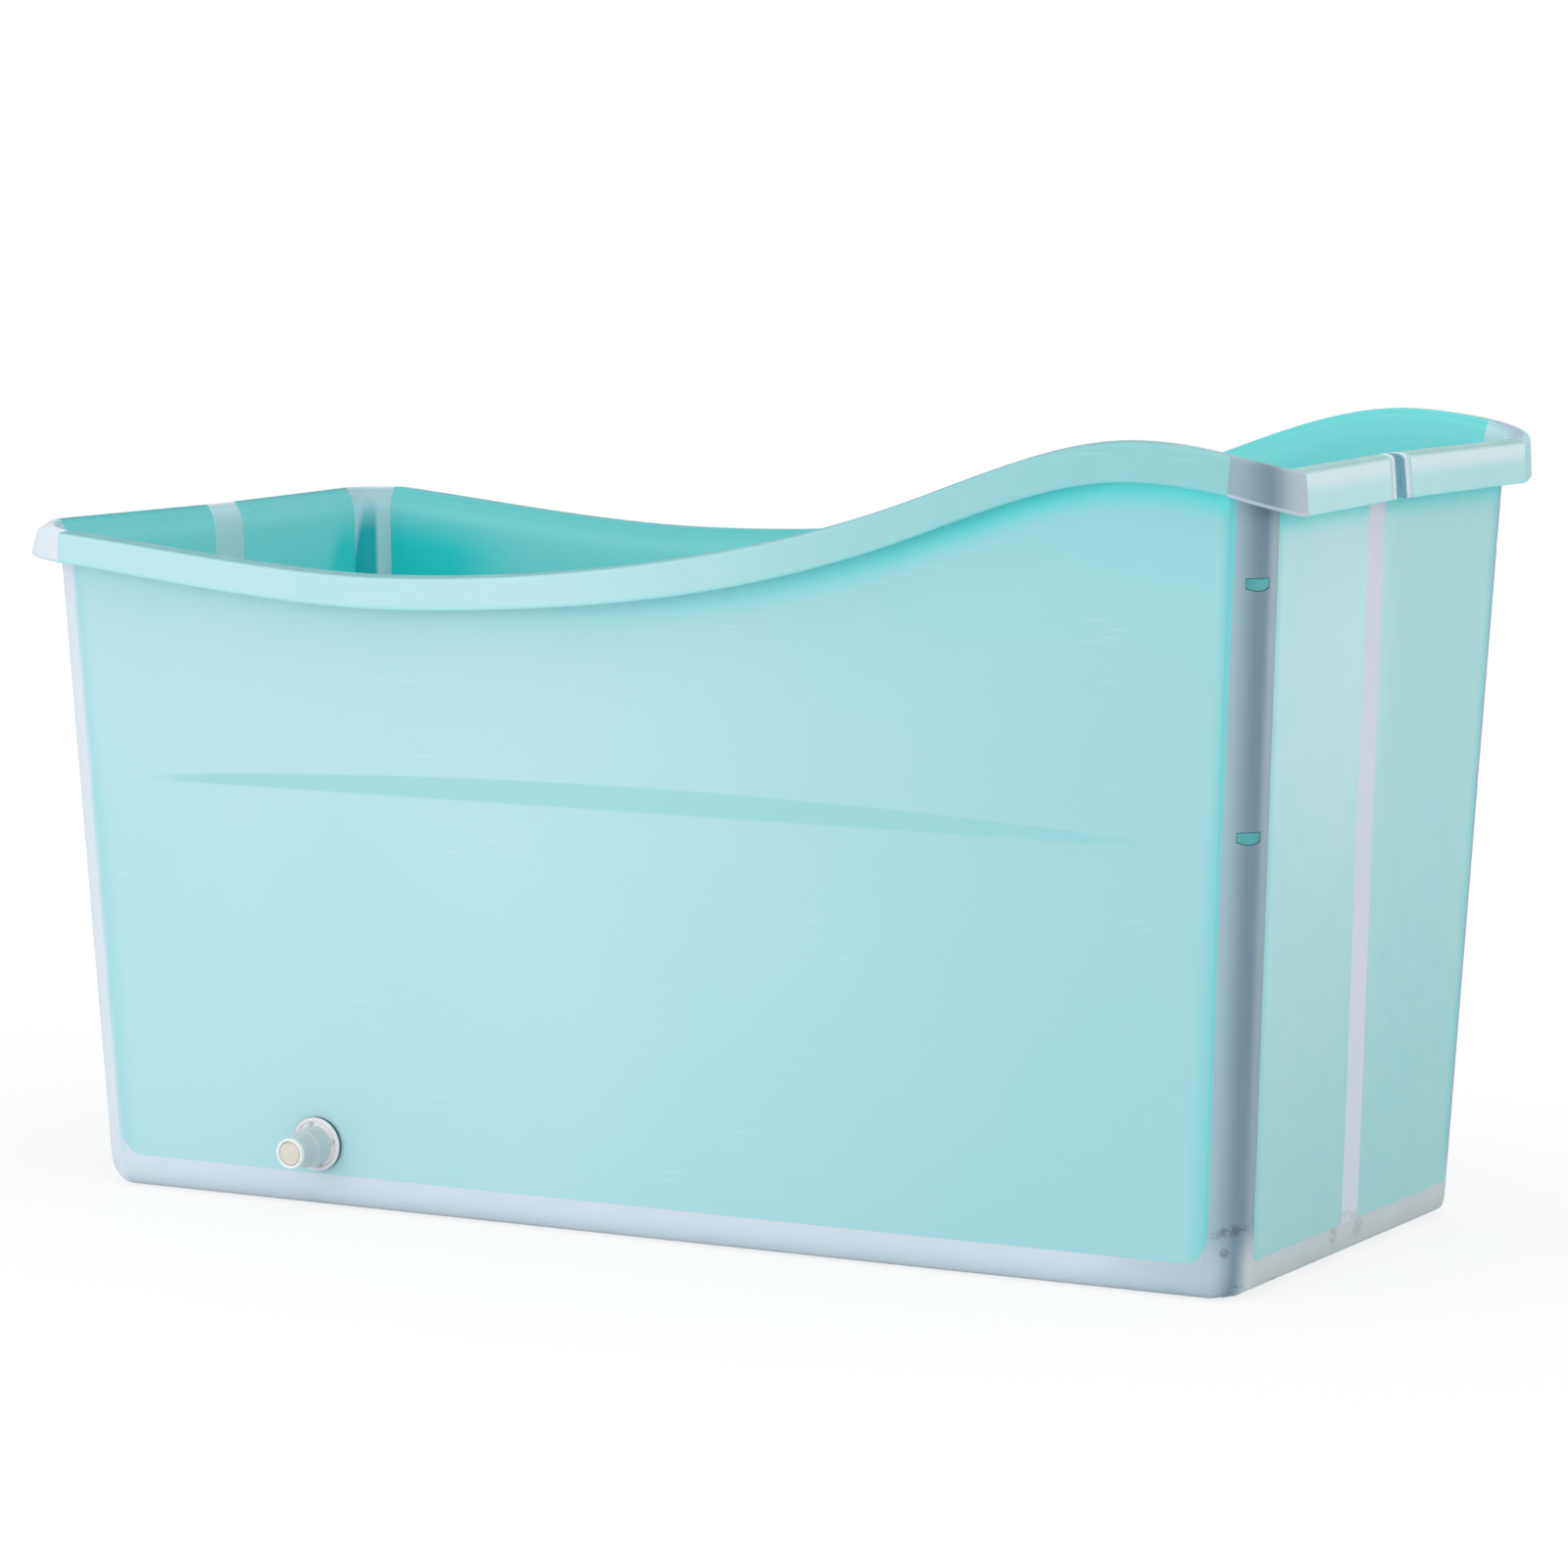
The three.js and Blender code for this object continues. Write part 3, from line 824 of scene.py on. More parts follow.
def stationObject(stations):
    mesh = bpy.data.meshes.new("stationLine")
    edges = [(i, i + 1) for i in range(len(stations) - 1)]
    mesh.from_pydata([s["place"] for s in stations], edges, [])
    holdValues(mesh, stationNames, stations)
    for key in ("lean", "face", "slide"):
        flat = [value for s in stations for value in s[key]]
        mesh.attributes.new(key, "FLOAT_VECTOR", "POINT").data.foreach_set("vector", flat)
    return addObject("stationLine", mesh)


def cutPiece(whole, cutters):
    carrier = addObject("cutCarrier", whole.data.copy())
    for cutter in cutters:
        hole = carrier.modifiers.new("hole", "BOOLEAN")
        hole.object = cutter
        hole.solver = "EXACT"
    runTree(carrier, freshMarks, {"Uncut": whole})
    name = whole.name
    whole.name = "uncut"
    made = plainMesh(carrier, name)
    drop(carrier, whole)
    return made


def sweepPiece(name, stations, section, finish, cutters=()):
    path, rows = stationObject(stations), sectionObject(section)
    runTree(path, sweep, {"Section": rows, "Finish": finish})
    made = plainMesh(path, name)
    drop(path, rows)
    if cutters:
        made = cutPiece(made, cutters)
    tidyNormals(made)
    give(made, finish)
    return made


# Finishes


def newFinish(name):
    made = bpy.data.materials.new(name)
    made.use_nodes = True
    tree = made.node_tree
    tree.nodes.clear()
    surface = tree.nodes.new("ShaderNodeBsdfPrincipled")
    output = tree.nodes.new("ShaderNodeOutputMaterial")
    tree.links.new(surface.outputs[0], output.inputs["Surface"])
    return made, tree, surface


def colour(red, green, blue):
    # linear colour from values of 0 to 255 as seen on a screen
    def linear(value):
        value /= 255
        return value / 12.92 if value <= 0.04045 else ((value + 0.055) / 1.055) ** 2.4

    return (linear(red), linear(green), linear(blue), 1.0)


def mixed(tree, share, first, second):
    # colours are sockets or screen values
    made = addNode(tree, "ShaderNodeMix", data_type="RGBA")
    sockets = [s for s in made.inputs if s.enabled]
    for socket, value in zip(sockets, (share, first, second)):
        feed(tree, socket, colour(*value) if isinstance(value, tuple) else value)
    return live(made.outputs)


def spot(tree):
    return addNode(tree, "ShaderNodeTexCoord").outputs["Object"]


def noise(tree, scale, detail=3.0, roughness=0.5, stretch=None, turn=(0, 0, 0)):
    place = spot(tree)
    if stretch:
        inputs = {"Vector": place, "Scale": stretch, "Rotation": turn}
        place = addNode(tree, "ShaderNodeMapping", inputs).outputs[0]
    inputs = {"Vector": place, "Scale": scale, "Detail": detail, "Roughness": roughness}
    return addNode(tree, "ShaderNodeTexNoise", inputs).outputs[0]


def ranged(tree, value, low, high, toLow=0.0, toHigh=1.0, smoothly=True):
    # a value brought from one range to another, kept within it
    inputs = {"Value": value, "From Min": low, "From Max": high, "To Min": toLow, "To Max": toHigh}
    way = "SMOOTHSTEP" if smoothly else "LINEAR"
    return addNode(tree, "ShaderNodeMapRange", inputs, interpolation_type=way).outputs["Result"]


def uneven(tree, scale, middle, less, more, detail=3.0):
    # a roughness that wanders a little about its middle value
    return ranged(tree, noise(tree, scale, detail), 0.3, 0.7, middle + less, middle + more)


def held(tree, key):
    made = addNode(tree, "ShaderNodeAttribute", attribute_name=key, attribute_type="GEOMETRY")
    return made.outputs["Fac"]


def axes(tree):
    return addNode(tree, "ShaderNodeSeparateXYZ", {0: spot(tree)}).outputs


def bumps(tree, surface, layers):
    # layers are height sockets with their strengths and depths
    normal = None
    for height, strength, distance in layers:
        inputs = {"Strength": strength, "Distance": distance, "Height": height}
        if normal:
            inputs["Normal"] = normal
        normal = addNode(tree, "ShaderNodeBump", inputs).outputs[0]
    tree.links.new(normal, surface.inputs["Normal"])


def scratches(tree, scale, seedTurn, low, high):
    # thin worn lines along one direction
    turn = (seedTurn, seedTurn * 0.7, seedTurn * 1.3)
    line = ranged(tree, noise(tree, scale, 2.0, 0.6, (0.15, 1.0, 2.6), turn), low, high)
    return times(tree, line, ranged(tree, noise(tree, 9.0, 2.0), 0.55, 0.7))


# darker to the right, low down, on the end walls' far halves, on the facet and the deck, deep inside,
# under lips and rim, in corners and along edges; a highlight on the end rims' shoulder
# panel colours: side, end, inside and worn are the moulding's own, the others are painted light and
# shade:
mint = {
    "side": (180, 220, 225),
    "sideRight": (160, 209, 215),
    "sideLow": (168, 220, 224),
    "end": (188, 228, 229),
    "endLow": (158, 207, 206),
    "endFar": (157, 211, 209),
    "facet": (146, 208, 213),
    "rimRight": (138, 197, 202),
    "deck": (130, 179, 176),
    "lowDeck": (79, 155, 160),
    "shoulder": (212, 232, 235),
    "inside": (132, 219, 221),
    "insideDeep": (0, 230, 230),
    "insideTop": (92, 192, 192),
    "insideCorner": (6, 212, 212),
    "line": (97, 202, 206),
    "underRim": (86, 229, 231),
    "worn": (214, 238, 240),
    "grain": 1400.0,
    "roughness": 0.44,
}


def outsideMint(tree, alongSide):
    # stiff panel outside with painted light and shade: paler towards the light, darker towards the head
    # end and the floor, on the end walls' far halves and on their rims
    x, y, z = axes(tree)
    low = ranged(tree, z, 0.5, 0.02)
    if alongSide:
        base = mixed(tree, ranged(tree, x, -0.15, 0.47), mint["side"], mint["sideRight"])
        base = mixed(tree, times(tree, low, 0.25), base, mint["sideLow"])
        # painted shade on the crescent facet, which faces down
        base = mixed(tree, times(tree, held(tree, "facet"), 0.6), base, mint["facet"])
    else:
        base = mixed(tree, low, mint["end"], mint["endLow"])
        rimShare = ranged(tree, held(tree, "outer"), 0.5, 0.9)
        far = ranged(tree, y, -0.02, 0.06)
        far = times(tree, far, maths(tree, "MULTIPLY_ADD", rimShare, -0.35, 0.6))
        base = mixed(tree, far, base, mint["endFar"])
        base = mixed(tree, times(tree, rimShare, 0.2), base, mint["endFar"])
    cloud = noise(tree, 3.5, 3.0)
    return mixed(tree, ranged(tree, cloud, 0.35, 0.7, 0.0, 0.14), base, mint["facet"])


def rimMint(tree, base, alongSide):
    # painted shade over the rim's deck, on its underside and where it shades the wall, with the side
    # rims darker towards the head end; a painted highlight on the end rims' shoulder
    x = axes(tree)["X"]
    fall, inside = held(tree, "fall"), held(tree, "inside")
    outward = maths(tree, "SUBTRACT", 1.0, inside)
    onWall = maths(tree, "LESS_THAN", held(tree, "outer"), 0.02)
    shadeEnd = 0.055 if alongSide else 0.054
    shade = times(tree, ranged(tree, fall, 0.03, shadeEnd, 0.9, 0.0), outward, onWall)
    if alongSide:
        shade = times(tree, shade, ranged(tree, x, -0.2, 0.4, 0.05, 1.0))
        # a wider, fainter painted shade below the side rim
        below = ranged(tree, fall, 0.035, 0.19, 0.16, 0.0)
        below = times(tree, below, ranged(tree, x, 0.0, 0.45), onWall)
        base = mixed(tree, below, base, mint["underRim"])
    base = mixed(tree, shade, base, mint["underRim"])
    onRim = times(tree, ranged(tree, held(tree, "outer"), 0.5, 0.9), outward)
    if alongSide:
        # painted shade: the side rim darker towards the head end
        headEndShade = ranged(tree, x, -0.1, 0.47)
        base = mixed(tree, times(tree, onRim, headEndShade), base, mint["rimRight"])
    if not alongSide:
        # painted highlight along the end rims' shoulder
        shoulderHighlight = ranged(tree, fall, 0.021, 0.008, 0.0, 0.85)
        shoulderHighlight = times(tree, shoulderHighlight, onRim, ranged(tree, x, 0.35, 0.49))
        base = mixed(tree, shoulderHighlight, base, mint["shoulder"])
    # painted shade on the rim's deck, darker at the low end
    deckShade = mixed(tree, ranged(tree, x, 0.3, 0.5), mint["lowDeck"], mint["deck"])
    deckFrom, deckTo = (0.35, 0.9) if alongSide else (0.1, 0.6)
    base = mixed(tree, ranged(tree, held(tree, "deck"), deckFrom, deckTo, 0.0, 0.85), base, deckShade)
    # painted shade on the rim's underside
    return mixed(tree, times(tree, held(tree, "under"), 0.8), base, mint["underRim"])


def mintFinish(name, alongSide):
    made, tree, surface = newFinish(name)
    x, y, z = axes(tree)
    inside, fall = ranged(tree, held(tree, "inside"), 0.0, 0.35), held(tree, "fall")
    # painted shade inside: deeper colour further down, and darker under the inner lip
    inner = mixed(tree, ranged(tree, fall, 0.0, 0.24), mint["inside"], mint["insideDeep"])
    lipShade = ranged(tree, fall, 0.018, 0.004, 0.0, 0.75)
    lipShade = times(tree, lipShade, ranged(tree, x, -0.1, 0.3, 1.0, 0.55))
    inner = mixed(tree, lipShade, inner, mint["insideTop"])
    # painted shade: deep teal inside near the corners
    if alongSide:
        cornerShade = ranged(tree, x, -0.35, -0.44, 0.0, 0.9)
        cornerShade = times(tree, cornerShade, ranged(tree, fall, 0.01, 0.05))
    else:
        spread = maths(tree, "MULTIPLY_ADD", fall, 0.45, maths(tree, "ABSOLUTE", y))
        cornerShade = ranged(tree, spread, 0.18, 0.205)
        cornerShade = times(tree, cornerShade, ranged(tree, fall, 0.02, 0.05, 0.0, 0.8))
    inner = mixed(tree, cornerShade, inner, mint["insideCorner"])
    # painted shade: darker teal along a panel's edge where it meets its soft strips
    edgeStart = ranged(tree, z, 0.42, 0.2, 0.982, 0.962) if alongSide else 0.93
    edgeMost = ranged(tree, x, -0.3, 0.3, 0.2, 0.55) if alongSide else 0.45
    edge = ranged(tree, maths(tree, "ABSOLUTE", held(tree, "share")), edgeStart, 1.0)
    edge = times(tree, edge, edgeMost, ranged(tree, fall, 0.02, 0.05))
    outside = mixed(tree, edge, outsideMint(tree, alongSide), mint["line"])
    base = rimMint(tree, mixed(tree, inside, outside, inner), alongSide)
    wear = scratches(tree, 120.0, 0.5, 0.62, 0.68)
    base = mixed(tree, times(tree, wear, 0.25), base, mint["worn"])
    tree.links.new(base, surface.inputs["Base Color"])
    rough = uneven(tree, 42.0, mint["roughness"], -0.05, 0.08)
    rough = maths(tree, "ADD", rough, times(tree, wear, 0.2))
    tree.links.new(rough, surface.inputs["Roughness"])
    waves, grain = noise(tree, 2.4, 1.0), noise(tree, mint["grain"], 2.0)
    bumps(tree, surface, ((waves, 0.25, 0.002), (grain, 0.08, 0.0001)))
    surface.inputs["IOR"].default_value = 1.46
    surface.inputs["Specular IOR Level"].default_value = 0.38
    return made


# and shade at the near corner's bend, under the rim, in the notch's slot and in the low corners' inner
# fold
# soft plastic colours, mostly their own; painted light among them: highlights on the near corner's rim
# tip and lower lip,
soft = {
    "cornerLight": (156, 183, 195),
    "cornerDark": (110, 137, 151),
    "cornerFar": (153, 175, 184),
    "rimTipHighlight": (179, 194, 201),
    "bandFront": (210, 222, 231),
    "bandEnd": (197, 205, 208),
    "strip": (211, 216, 226),
    "leftStrip": (216, 226, 234),
    "rimMint": (172, 214, 216),
    "notchLip": (228, 232, 234),
    "notchShade": (112, 166, 181),
    "inside": (184, 218, 226),
    "underRim": (110, 172, 182),
    "smudge": (92, 104, 110),
    "scuff": (150, 156, 154),
    "fold": (10, 176, 182),
    "foot": (181, 198, 210),
    "lipHighlight": (206, 217, 226),
    "grain": 900.0,
    "roughness": 0.5,
}

notch = {
    "apex": 0.0065,
    "halfWidth": 0.009,
    "lip": 0.0048,
    "wall": 0.0012,
    "below": 0.045,
    "hook": 0.0045,
    "hookStart": 0.0022,
    "mostBack": 0.004,
    "foot": 0.0012,
    "middle": 0.55,
    "shoulder": 0.0068,
    "head": 0.0036,
    "headIn": 0.0030,
}

# rubbed places on the soft plastic: centre, half sizes and strength
marks = {
    "corner": (
        ((0.488, -0.197, 0.052), (0.0120, 0.0120, 0.0046), 0.85),
        ((0.478, -0.205, 0.048), (0.0060, 0.0060, 0.0030), 0.35),
        ((0.483, -0.201, 0.036), (0.0034, 0.0050, 0.0040), 0.75),
        ((0.489, -0.190, 0.010), (0.0040, 0.0060, 0.0012), 0.5),
    ),
    "lowCorner": (((-0.461, -0.206, 0.013), (0.0070, 0.006, 0.0014), 0.7),),
    "strip": (
        ((0.495, -0.011, 0.341), (0.006, 0.0026, 0.0026), 0.4),
        ((0.490, -0.008, 0.120), (0.006, 0.0018, 0.006), 0.3),
    ),
    "endBand": (
        ((0.492, -0.030, 0.020), (0.010, 0.0080, 0.0095), 0.5),
        ((0.492, 0.016, 0.019), (0.010, 0.0100, 0.0090), 0.5),
        ((0.491, -0.135, 0.0065), (0.010, 0.0070, 0.0011), 0.95),
        ((0.491, -0.095, 0.012), (0.010, 0.0120, 0.0018), 0.2),
    ),
}


def smudged(tree, base, places, shade):
    broken = ranged(tree, noise(tree, 260.0, 4.0, 0.75), 0.40, 0.56)
    for place, halves, strength in places:
        offset = vectorMaths(tree, "SUBTRACT", spot(tree), place)
        offset = vectorMaths(tree, "DIVIDE", offset, halves)
        near = ranged(tree, vectorMaths(tree, "LENGTH", offset), 1.4, 0.5, 0.0, strength)
        base = mixed(tree, times(tree, near, broken), base, shade)
    return base


def softBase(name):
    # soft hinge plastic before its colour is laid on
    made, tree, surface = newFinish(name)
    rough = uneven(tree, 60.0, soft["roughness"], -0.05, 0.1)
    tree.links.new(rough, surface.inputs["Roughness"])
    waves, grain = noise(tree, 5.0, 1.0), noise(tree, soft["grain"], 2.0)
    bumps(tree, surface, ((waves, 0.1, 0.001), (grain, 0.12, 0.0001)))
    surface.inputs["IOR"].default_value = 1.47
    surface.inputs["Specular IOR Level"].default_value = 0.35
    return made, tree, surface


def finishSoft(tree, surface, base, places=(), shade=soft["smudge"], inner=None):
    # inside colour, the rim's shaded underside, faint clouding and rubbed places
    cloud = ranged(tree, noise(tree, 6.0, 3.0), 0.3, 0.75, 0.0, 0.08)
    base = mixed(tree, cloud, base, soft["cornerFar"])
    within = soft["inside"]
    if inner:
        # painted shade: greyer under the inner lip, with the inner fold's painted shade over it
        top = ranged(tree, held(tree, "fall"), 0.017, 0.004, 0.0, 0.5)
        within = mixed(tree, inner[0], mixed(tree, top, within, soft["cornerFar"]), inner[1])
    base = mixed(tree, held(tree, "inside"), base, within)
    base = mixed(tree, times(tree, held(tree, "under"), 0.6), base, soft["underRim"])
    tree.links.new(smudged(tree, base, places, shade), surface.inputs["Base Color"])


def cornerFinish(name, darkness):
    # the near corner is darkest at its bend, a painted shade over its own darker colour; the far one
    # takes the panels' colour over its rim
    near = darkness > 0.5
    made, tree, surface = softBase(name)
    z = axes(tree)["Z"]
    turn = maths(tree, "SUBTRACT", 1.0, held(tree, "share"))
    bendShade = ranged(tree, turn, 0.7, 0.95, darkness, 0.0)
    bendShade = times(tree, ranged(tree, turn, 0.06, 0.62), bendShade)
    far = mixed(tree, ranged(tree, z, 0.0, 0.6, 0.5, 1.0), soft["cornerDark"], soft["cornerFar"])
    base = mixed(tree, ranged(tree, turn, 0.5, 0.8, 0.0, darkness), soft["cornerLight"], far)
    base = mixed(tree, bendShade, base, soft["cornerDark"])
    # the base band's colours come in from both sides at the foot
    foot = ranged(tree, z, 0.058, 0.022)
    nearSide = times(tree, foot, ranged(tree, turn, 0.66, 0.0))
    nearEnd = times(tree, foot, ranged(tree, turn, 0.52, 0.97))
    base = mixed(tree, nearSide, base, soft["foot"])
    base = mixed(tree, nearEnd, base, soft["bandEnd"])
    onRim = ranged(tree, held(tree, "outer"), 0.5, 0.9)
    if near:
        # the side panel's colour, darkened by the painted shade of its edge, runs on a little way round
        # the bend
        edge = ranged(tree, z, 0.3, 0.56, 0.06, 0.13, smoothly=False)
        wraps = ranged(tree, maths(tree, "SUBTRACT", turn, edge), 0.02, -0.02)
        onWall = ranged(tree, held(tree, "outer"), 0.2, 0.02)
        wraps = times(tree, wraps, onWall, ranged(tree, z, 0.036, 0.05))
        base = mixed(tree, wraps, base, mixed(tree, 0.8, mint["sideRight"], mint["line"]))
        # painted shade over the rim, and a painted highlight at its tip
        base = mixed(tree, times(tree, onRim, 0.3), base, soft["cornerDark"])
        tip = times(tree, onRim, ranged(tree, turn, 0.5, 1.0))
        base = mixed(tree, tip, base, soft["rimTipHighlight"])
        # a painted highlight along the skirt's lower lip
        under = held(tree, "under")
        lip = ranged(tree, under, 0.02, 0.2, 0.0, 0.7)
        lip = times(tree, lip, ranged(tree, under, 0.6, 0.4))
        base = mixed(tree, lip, base, soft["lipHighlight"])
    else:
        tip = times(tree, onRim, ranged(tree, turn, 0.2, 0.7))
        base = mixed(tree, tip, base, soft["rimMint"])
    finishSoft(tree, surface, base, marks["corner"])
    return made


def lowCornerFinish(name):
    made, tree, surface = softBase(name)
    z = axes(tree)["Z"]
    foot = ranged(tree, z, 0.046, 0.018)
    base = mixed(tree, foot, soft["leftStrip"], soft["bandFront"])
    turn = maths(tree, "SUBTRACT", 1.0, held(tree, "share"))
    base = mixed(tree, ranged(tree, turn, 0.35, 0.9, 0.0, 0.5), base, soft["cornerLight"])
    besidePanel, aboveFoot = ranged(tree, turn, 0.13, 0.05), maths(tree, "SUBTRACT", 1.0, foot)
    onWall = ranged(tree, held(tree, "outer"), 0.2, 0.02)
    base = mixed(tree, times(tree, besidePanel, aboveFoot, onWall), base, mint["side"])
    # painted shade where the corner folds inside the tub, spreading to the end wall further down
    fall = held(tree, "fall")
    spread = maths(tree, "MULTIPLY_ADD", fall, -8.0, turn)
    fold = times(tree, ranged(tree, turn, 0.31, 0.43), ranged(tree, fall, 0.004, 0.04))
    fold = times(tree, fold, ranged(tree, spread, 0.68, 0.45))
    finishSoft(tree, surface, base, marks["lowCorner"], inner=(fold, soft["fold"]))
    return made


def stripFinish(name):
    # middle strip: wall colour below, then pale lips and a slot in painted shade where the rim is
    # notched
    made, tree, surface = softBase(name)
    y = axes(tree)["Y"]
    outer = held(tree, "outer")
    onRim = ranged(tree, outer, 0.02, 0.2)
    base = mixed(tree, onRim, soft["strip"], soft["rimMint"])
    slotEdge = times(tree, outer, notch["halfWidth"])
    away = maths(tree, "SUBTRACT", maths(tree, "ABSOLUTE", y), slotEdge)
    lip = ranged(tree, away, 0.009, 0.003, 0.0, 0.75)
    lip = times(tree, lip, ranged(tree, outer, 0.1, 0.3))
    base = mixed(tree, lip, base, soft["notchLip"])
    # painted shade on the slot's walls
    slotShade = ranged(tree, away, 0.0012, 0.0004)
    slotShade = times(tree, slotShade, ranged(tree, outer, 0.04, 0.1))
    base = mixed(tree, slotShade, base, soft["notchShade"])
    finishSoft(tree, surface, base, marks["strip"], soft["scuff"])
    return made


def bandFinish(name, outer, places=()):
    made, tree, surface = softBase(name)
    along = axes(tree)
    low = tuple(value - 10 for value in outer)
    shaded = mixed(tree, ranged(tree, along["Z"], 0.022, 0.003), outer, low)
    if not places:
        shaded = mixed(tree, ranged(tree, along["X"], 0.36, 0.468), shaded, soft["foot"])
    finishSoft(tree, surface, shaded, places, soft["scuff"])
    return made


def plasticFinish(name, shade, second, roughness, grime=None):
    # plain plastic that wanders between two colours, with dirt in patches
    made, tree, surface = newFinish(name)
    cloud, grain = noise(tree, 30.0, 3.0), noise(tree, 700.0, 2.0)
    base = mixed(tree, ranged(tree, cloud, 0.35, 0.7), shade, second)
    if grime:
        patches = ranged(tree, noise(tree, 110.0, 4.0, 0.65), 0.58, 0.75, 0.0, 0.5)
        base = mixed(tree, patches, base, grime)
    tree.links.new(base, surface.inputs["Base Color"])
    rough = uneven(tree, 160.0, roughness, -0.06, 0.08, 2.0)
    tree.links.new(rough, surface.inputs["Roughness"])
    bumps(tree, surface, ((cloud, 0.1, 0.0004), (grain, 0.1, 0.0001)))
    surface.inputs["IOR"].default_value = 1.48
    return made


sideMint = mintFinish("sideMint", True)
endMint = mintFinish("endMint", False)
cornerSoft = cornerFinish("cornerSoft", 1.0)
farCornerSoft = cornerFinish("farCornerSoft", 0.1)
lowCornerSoft = lowCornerFinish("lowCornerSoft")
stripSoft = stripFinish("stripSoft")
bandSoft = bandFinish("bandSoft", soft["bandFront"])
endBandSoft = bandFinish("endBandSoft", soft["bandEnd"], marks["endBand"])
linkPlastic = plasticFinish("linkPlastic", (84, 168, 172), (66, 148, 153), 0.42)
floorMint = plasticFinish("floorMint", (120, 214, 217), (98, 205, 209), 0.42)
floorSoft = plasticFinish("floorSoft", (182, 205, 214), (166, 194, 205), 0.5)
gussetSoft = plasticFinish("gussetSoft", (186, 204, 213), (168, 190, 201), 0.5)
flangeWhite = plasticFinish("flangeWhite", (236, 232, 232), (222, 219, 220), 0.4, grime=(190, 190, 188))
spoutWhite = plasticFinish("spoutWhite", (196, 208, 209), (178, 194, 196), 0.34, grime=(160, 172, 172))
tipWhite = plasticFinish("tipWhite", (240, 242, 240), (226, 230, 228), 0.36, grime=(196, 198, 190))
plugCream = plasticFinish("plugCream", (226, 217, 207), (208, 200, 186), 0.5, grime=(176, 166, 148))
sealRubber = plasticFinish("sealRubber", (66, 112, 118), (48, 86, 93), 0.62)
print("finishes made")

# Panels, corners, strips and bands


drainSeat = {
    "along": -0.285,
    "height": 0.050,
    "aboveBand": 0.024,
    "fieldHeight": 0.302,
    "holeRadius": 0.0114,
    "holeReach": 0.010,
}


def drainAxis():
    # the fitting stands square on the pressed field, which sinks a little as it rises
    sinking = sideField["depth"] / drainSeat["fieldHeight"]
    tilt = math.atan(tub["draft"] - sinking)
    face = tub["halfWidth"] + tub["draft"] * drainSeat["height"]
    sunk = sinking * drainSeat["aboveBand"]
    origin = Vector((drainSeat["along"], sunk - face, drainSeat["height"]))
    return origin, Vector((0, -math.cos(tilt), -math.sin(tilt)))


def drainMatrix():
    # local Z points straight out of the wall, local Y up the wall
    origin, out = drainAxis()
    across = Vector((1, 0, 0))
    upward = out.cross(across)
    return Matrix.Translation(origin) @ Matrix((across, upward, out)).transposed().to_4x4()


def roundCutter(name, radius, half, steps=64):
    # plain cylinder around the fitting's axis
    work = bmesh.new()
    turns = [2 * math.pi * i / steps for i in range(steps)]
    rings = []
    for along in (-half, half):
        places = [(radius * math.cos(a), radius * math.sin(a), along) for a in turns]
        rings.append([work.verts.new(place) for place in places])
    join(work, *rings)
    for ring in rings:
        work.faces.new(ring)
    bmesh.ops.recalc_face_normals(work, faces=work.faces)
    made = objectFrom(name, work)
    made.data.transform(drainMatrix())
    return made


drainHole = roundCutter("drainHole", drainSeat["holeRadius"], drainSeat["holeReach"])

sides = {"front": -1, "rear": 1}
ends = {"low": -1, "high": 1}

for sideName, side in sides.items():
    cutters = (drainHole,) if side < 0 else ()
    section = withOuter(sideSection(), tub["shoulder"])
    path = sideStations(side)
    panel = sweepPiece(sideName + "SidePanel", path, section, sideMint, cutters=cutters)
    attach(panel, sideName + "_side")
    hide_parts(sideName + "_panel")
    band = sweepPiece(sideName + "BaseBand", path, bandSection(), bandSoft)
    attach(band, sideName + "_side")
    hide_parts(sideName + "_base_band")
print("side panels and bands made")

links = {
    "lowerDrop": 0.2625,
    "upperDrop": 0.081,
    "height": 0.0096,
    "depth": 0.0014,
    "highCover": (0.165, 0.665),
    "lowCover": (0.20, 0.47),
    "sag": 0.0022,
    "beyond": 0.004,
    "inset": 0.0002,
    "slack": 0.0003,
    "roundOut": 0.0003,
    "roundUp": 0.0004,
}


def linkStations(end, side, dropHeight, slack):
    middle = endTopOf(end) - dropHeight
    half = links["height"] / 2 - slack
    first, last = links["highCover"] if end > 0 else links["lowCover"]
    slackShare = slack / tub["corner"] / (math.pi / 2)
    first, last = first + slackShare, last - slackShare

    def lower(share):
        t = (share - first) / (last - first)
        return middle - half + links["sag"] * (1 - math.sin(math.pi * t))

    fixed = {"rimTop": middle + half, "facetTop": lower, "rimSkirt": 0}
    return cornerStations(end, side, first, last, 10, **fixed)


def linkSection(front, back):
    # closed section with its front edges taken off
    flat, small = front - links["roundOut"], links["roundUp"]
    lower = [row(back, 0, arc=1), row(flat, 0, arc=1), row(front, small, arc=1)]
    return lower + [row(front, -small, top=1), row(flat, 0, top=1), row(back, 0, top=1)]


bodyPairs = {
    ("low", "front"): ("front_side", "low_end_front"),
    ("high", "front"): ("front_side", "high_end_front"),
    ("low", "rear"): ("rear_side", "low_end_rear"),
}


def bendAtCorner(o, endName, sideName):
    # the loop's opened corner rides along on its side; the others keep their place, their transform
    # baked in
    pair = bodyPairs.get((endName, sideName))
    if not pair:
        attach(o, sideName + "_side")
        return
    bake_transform(o)


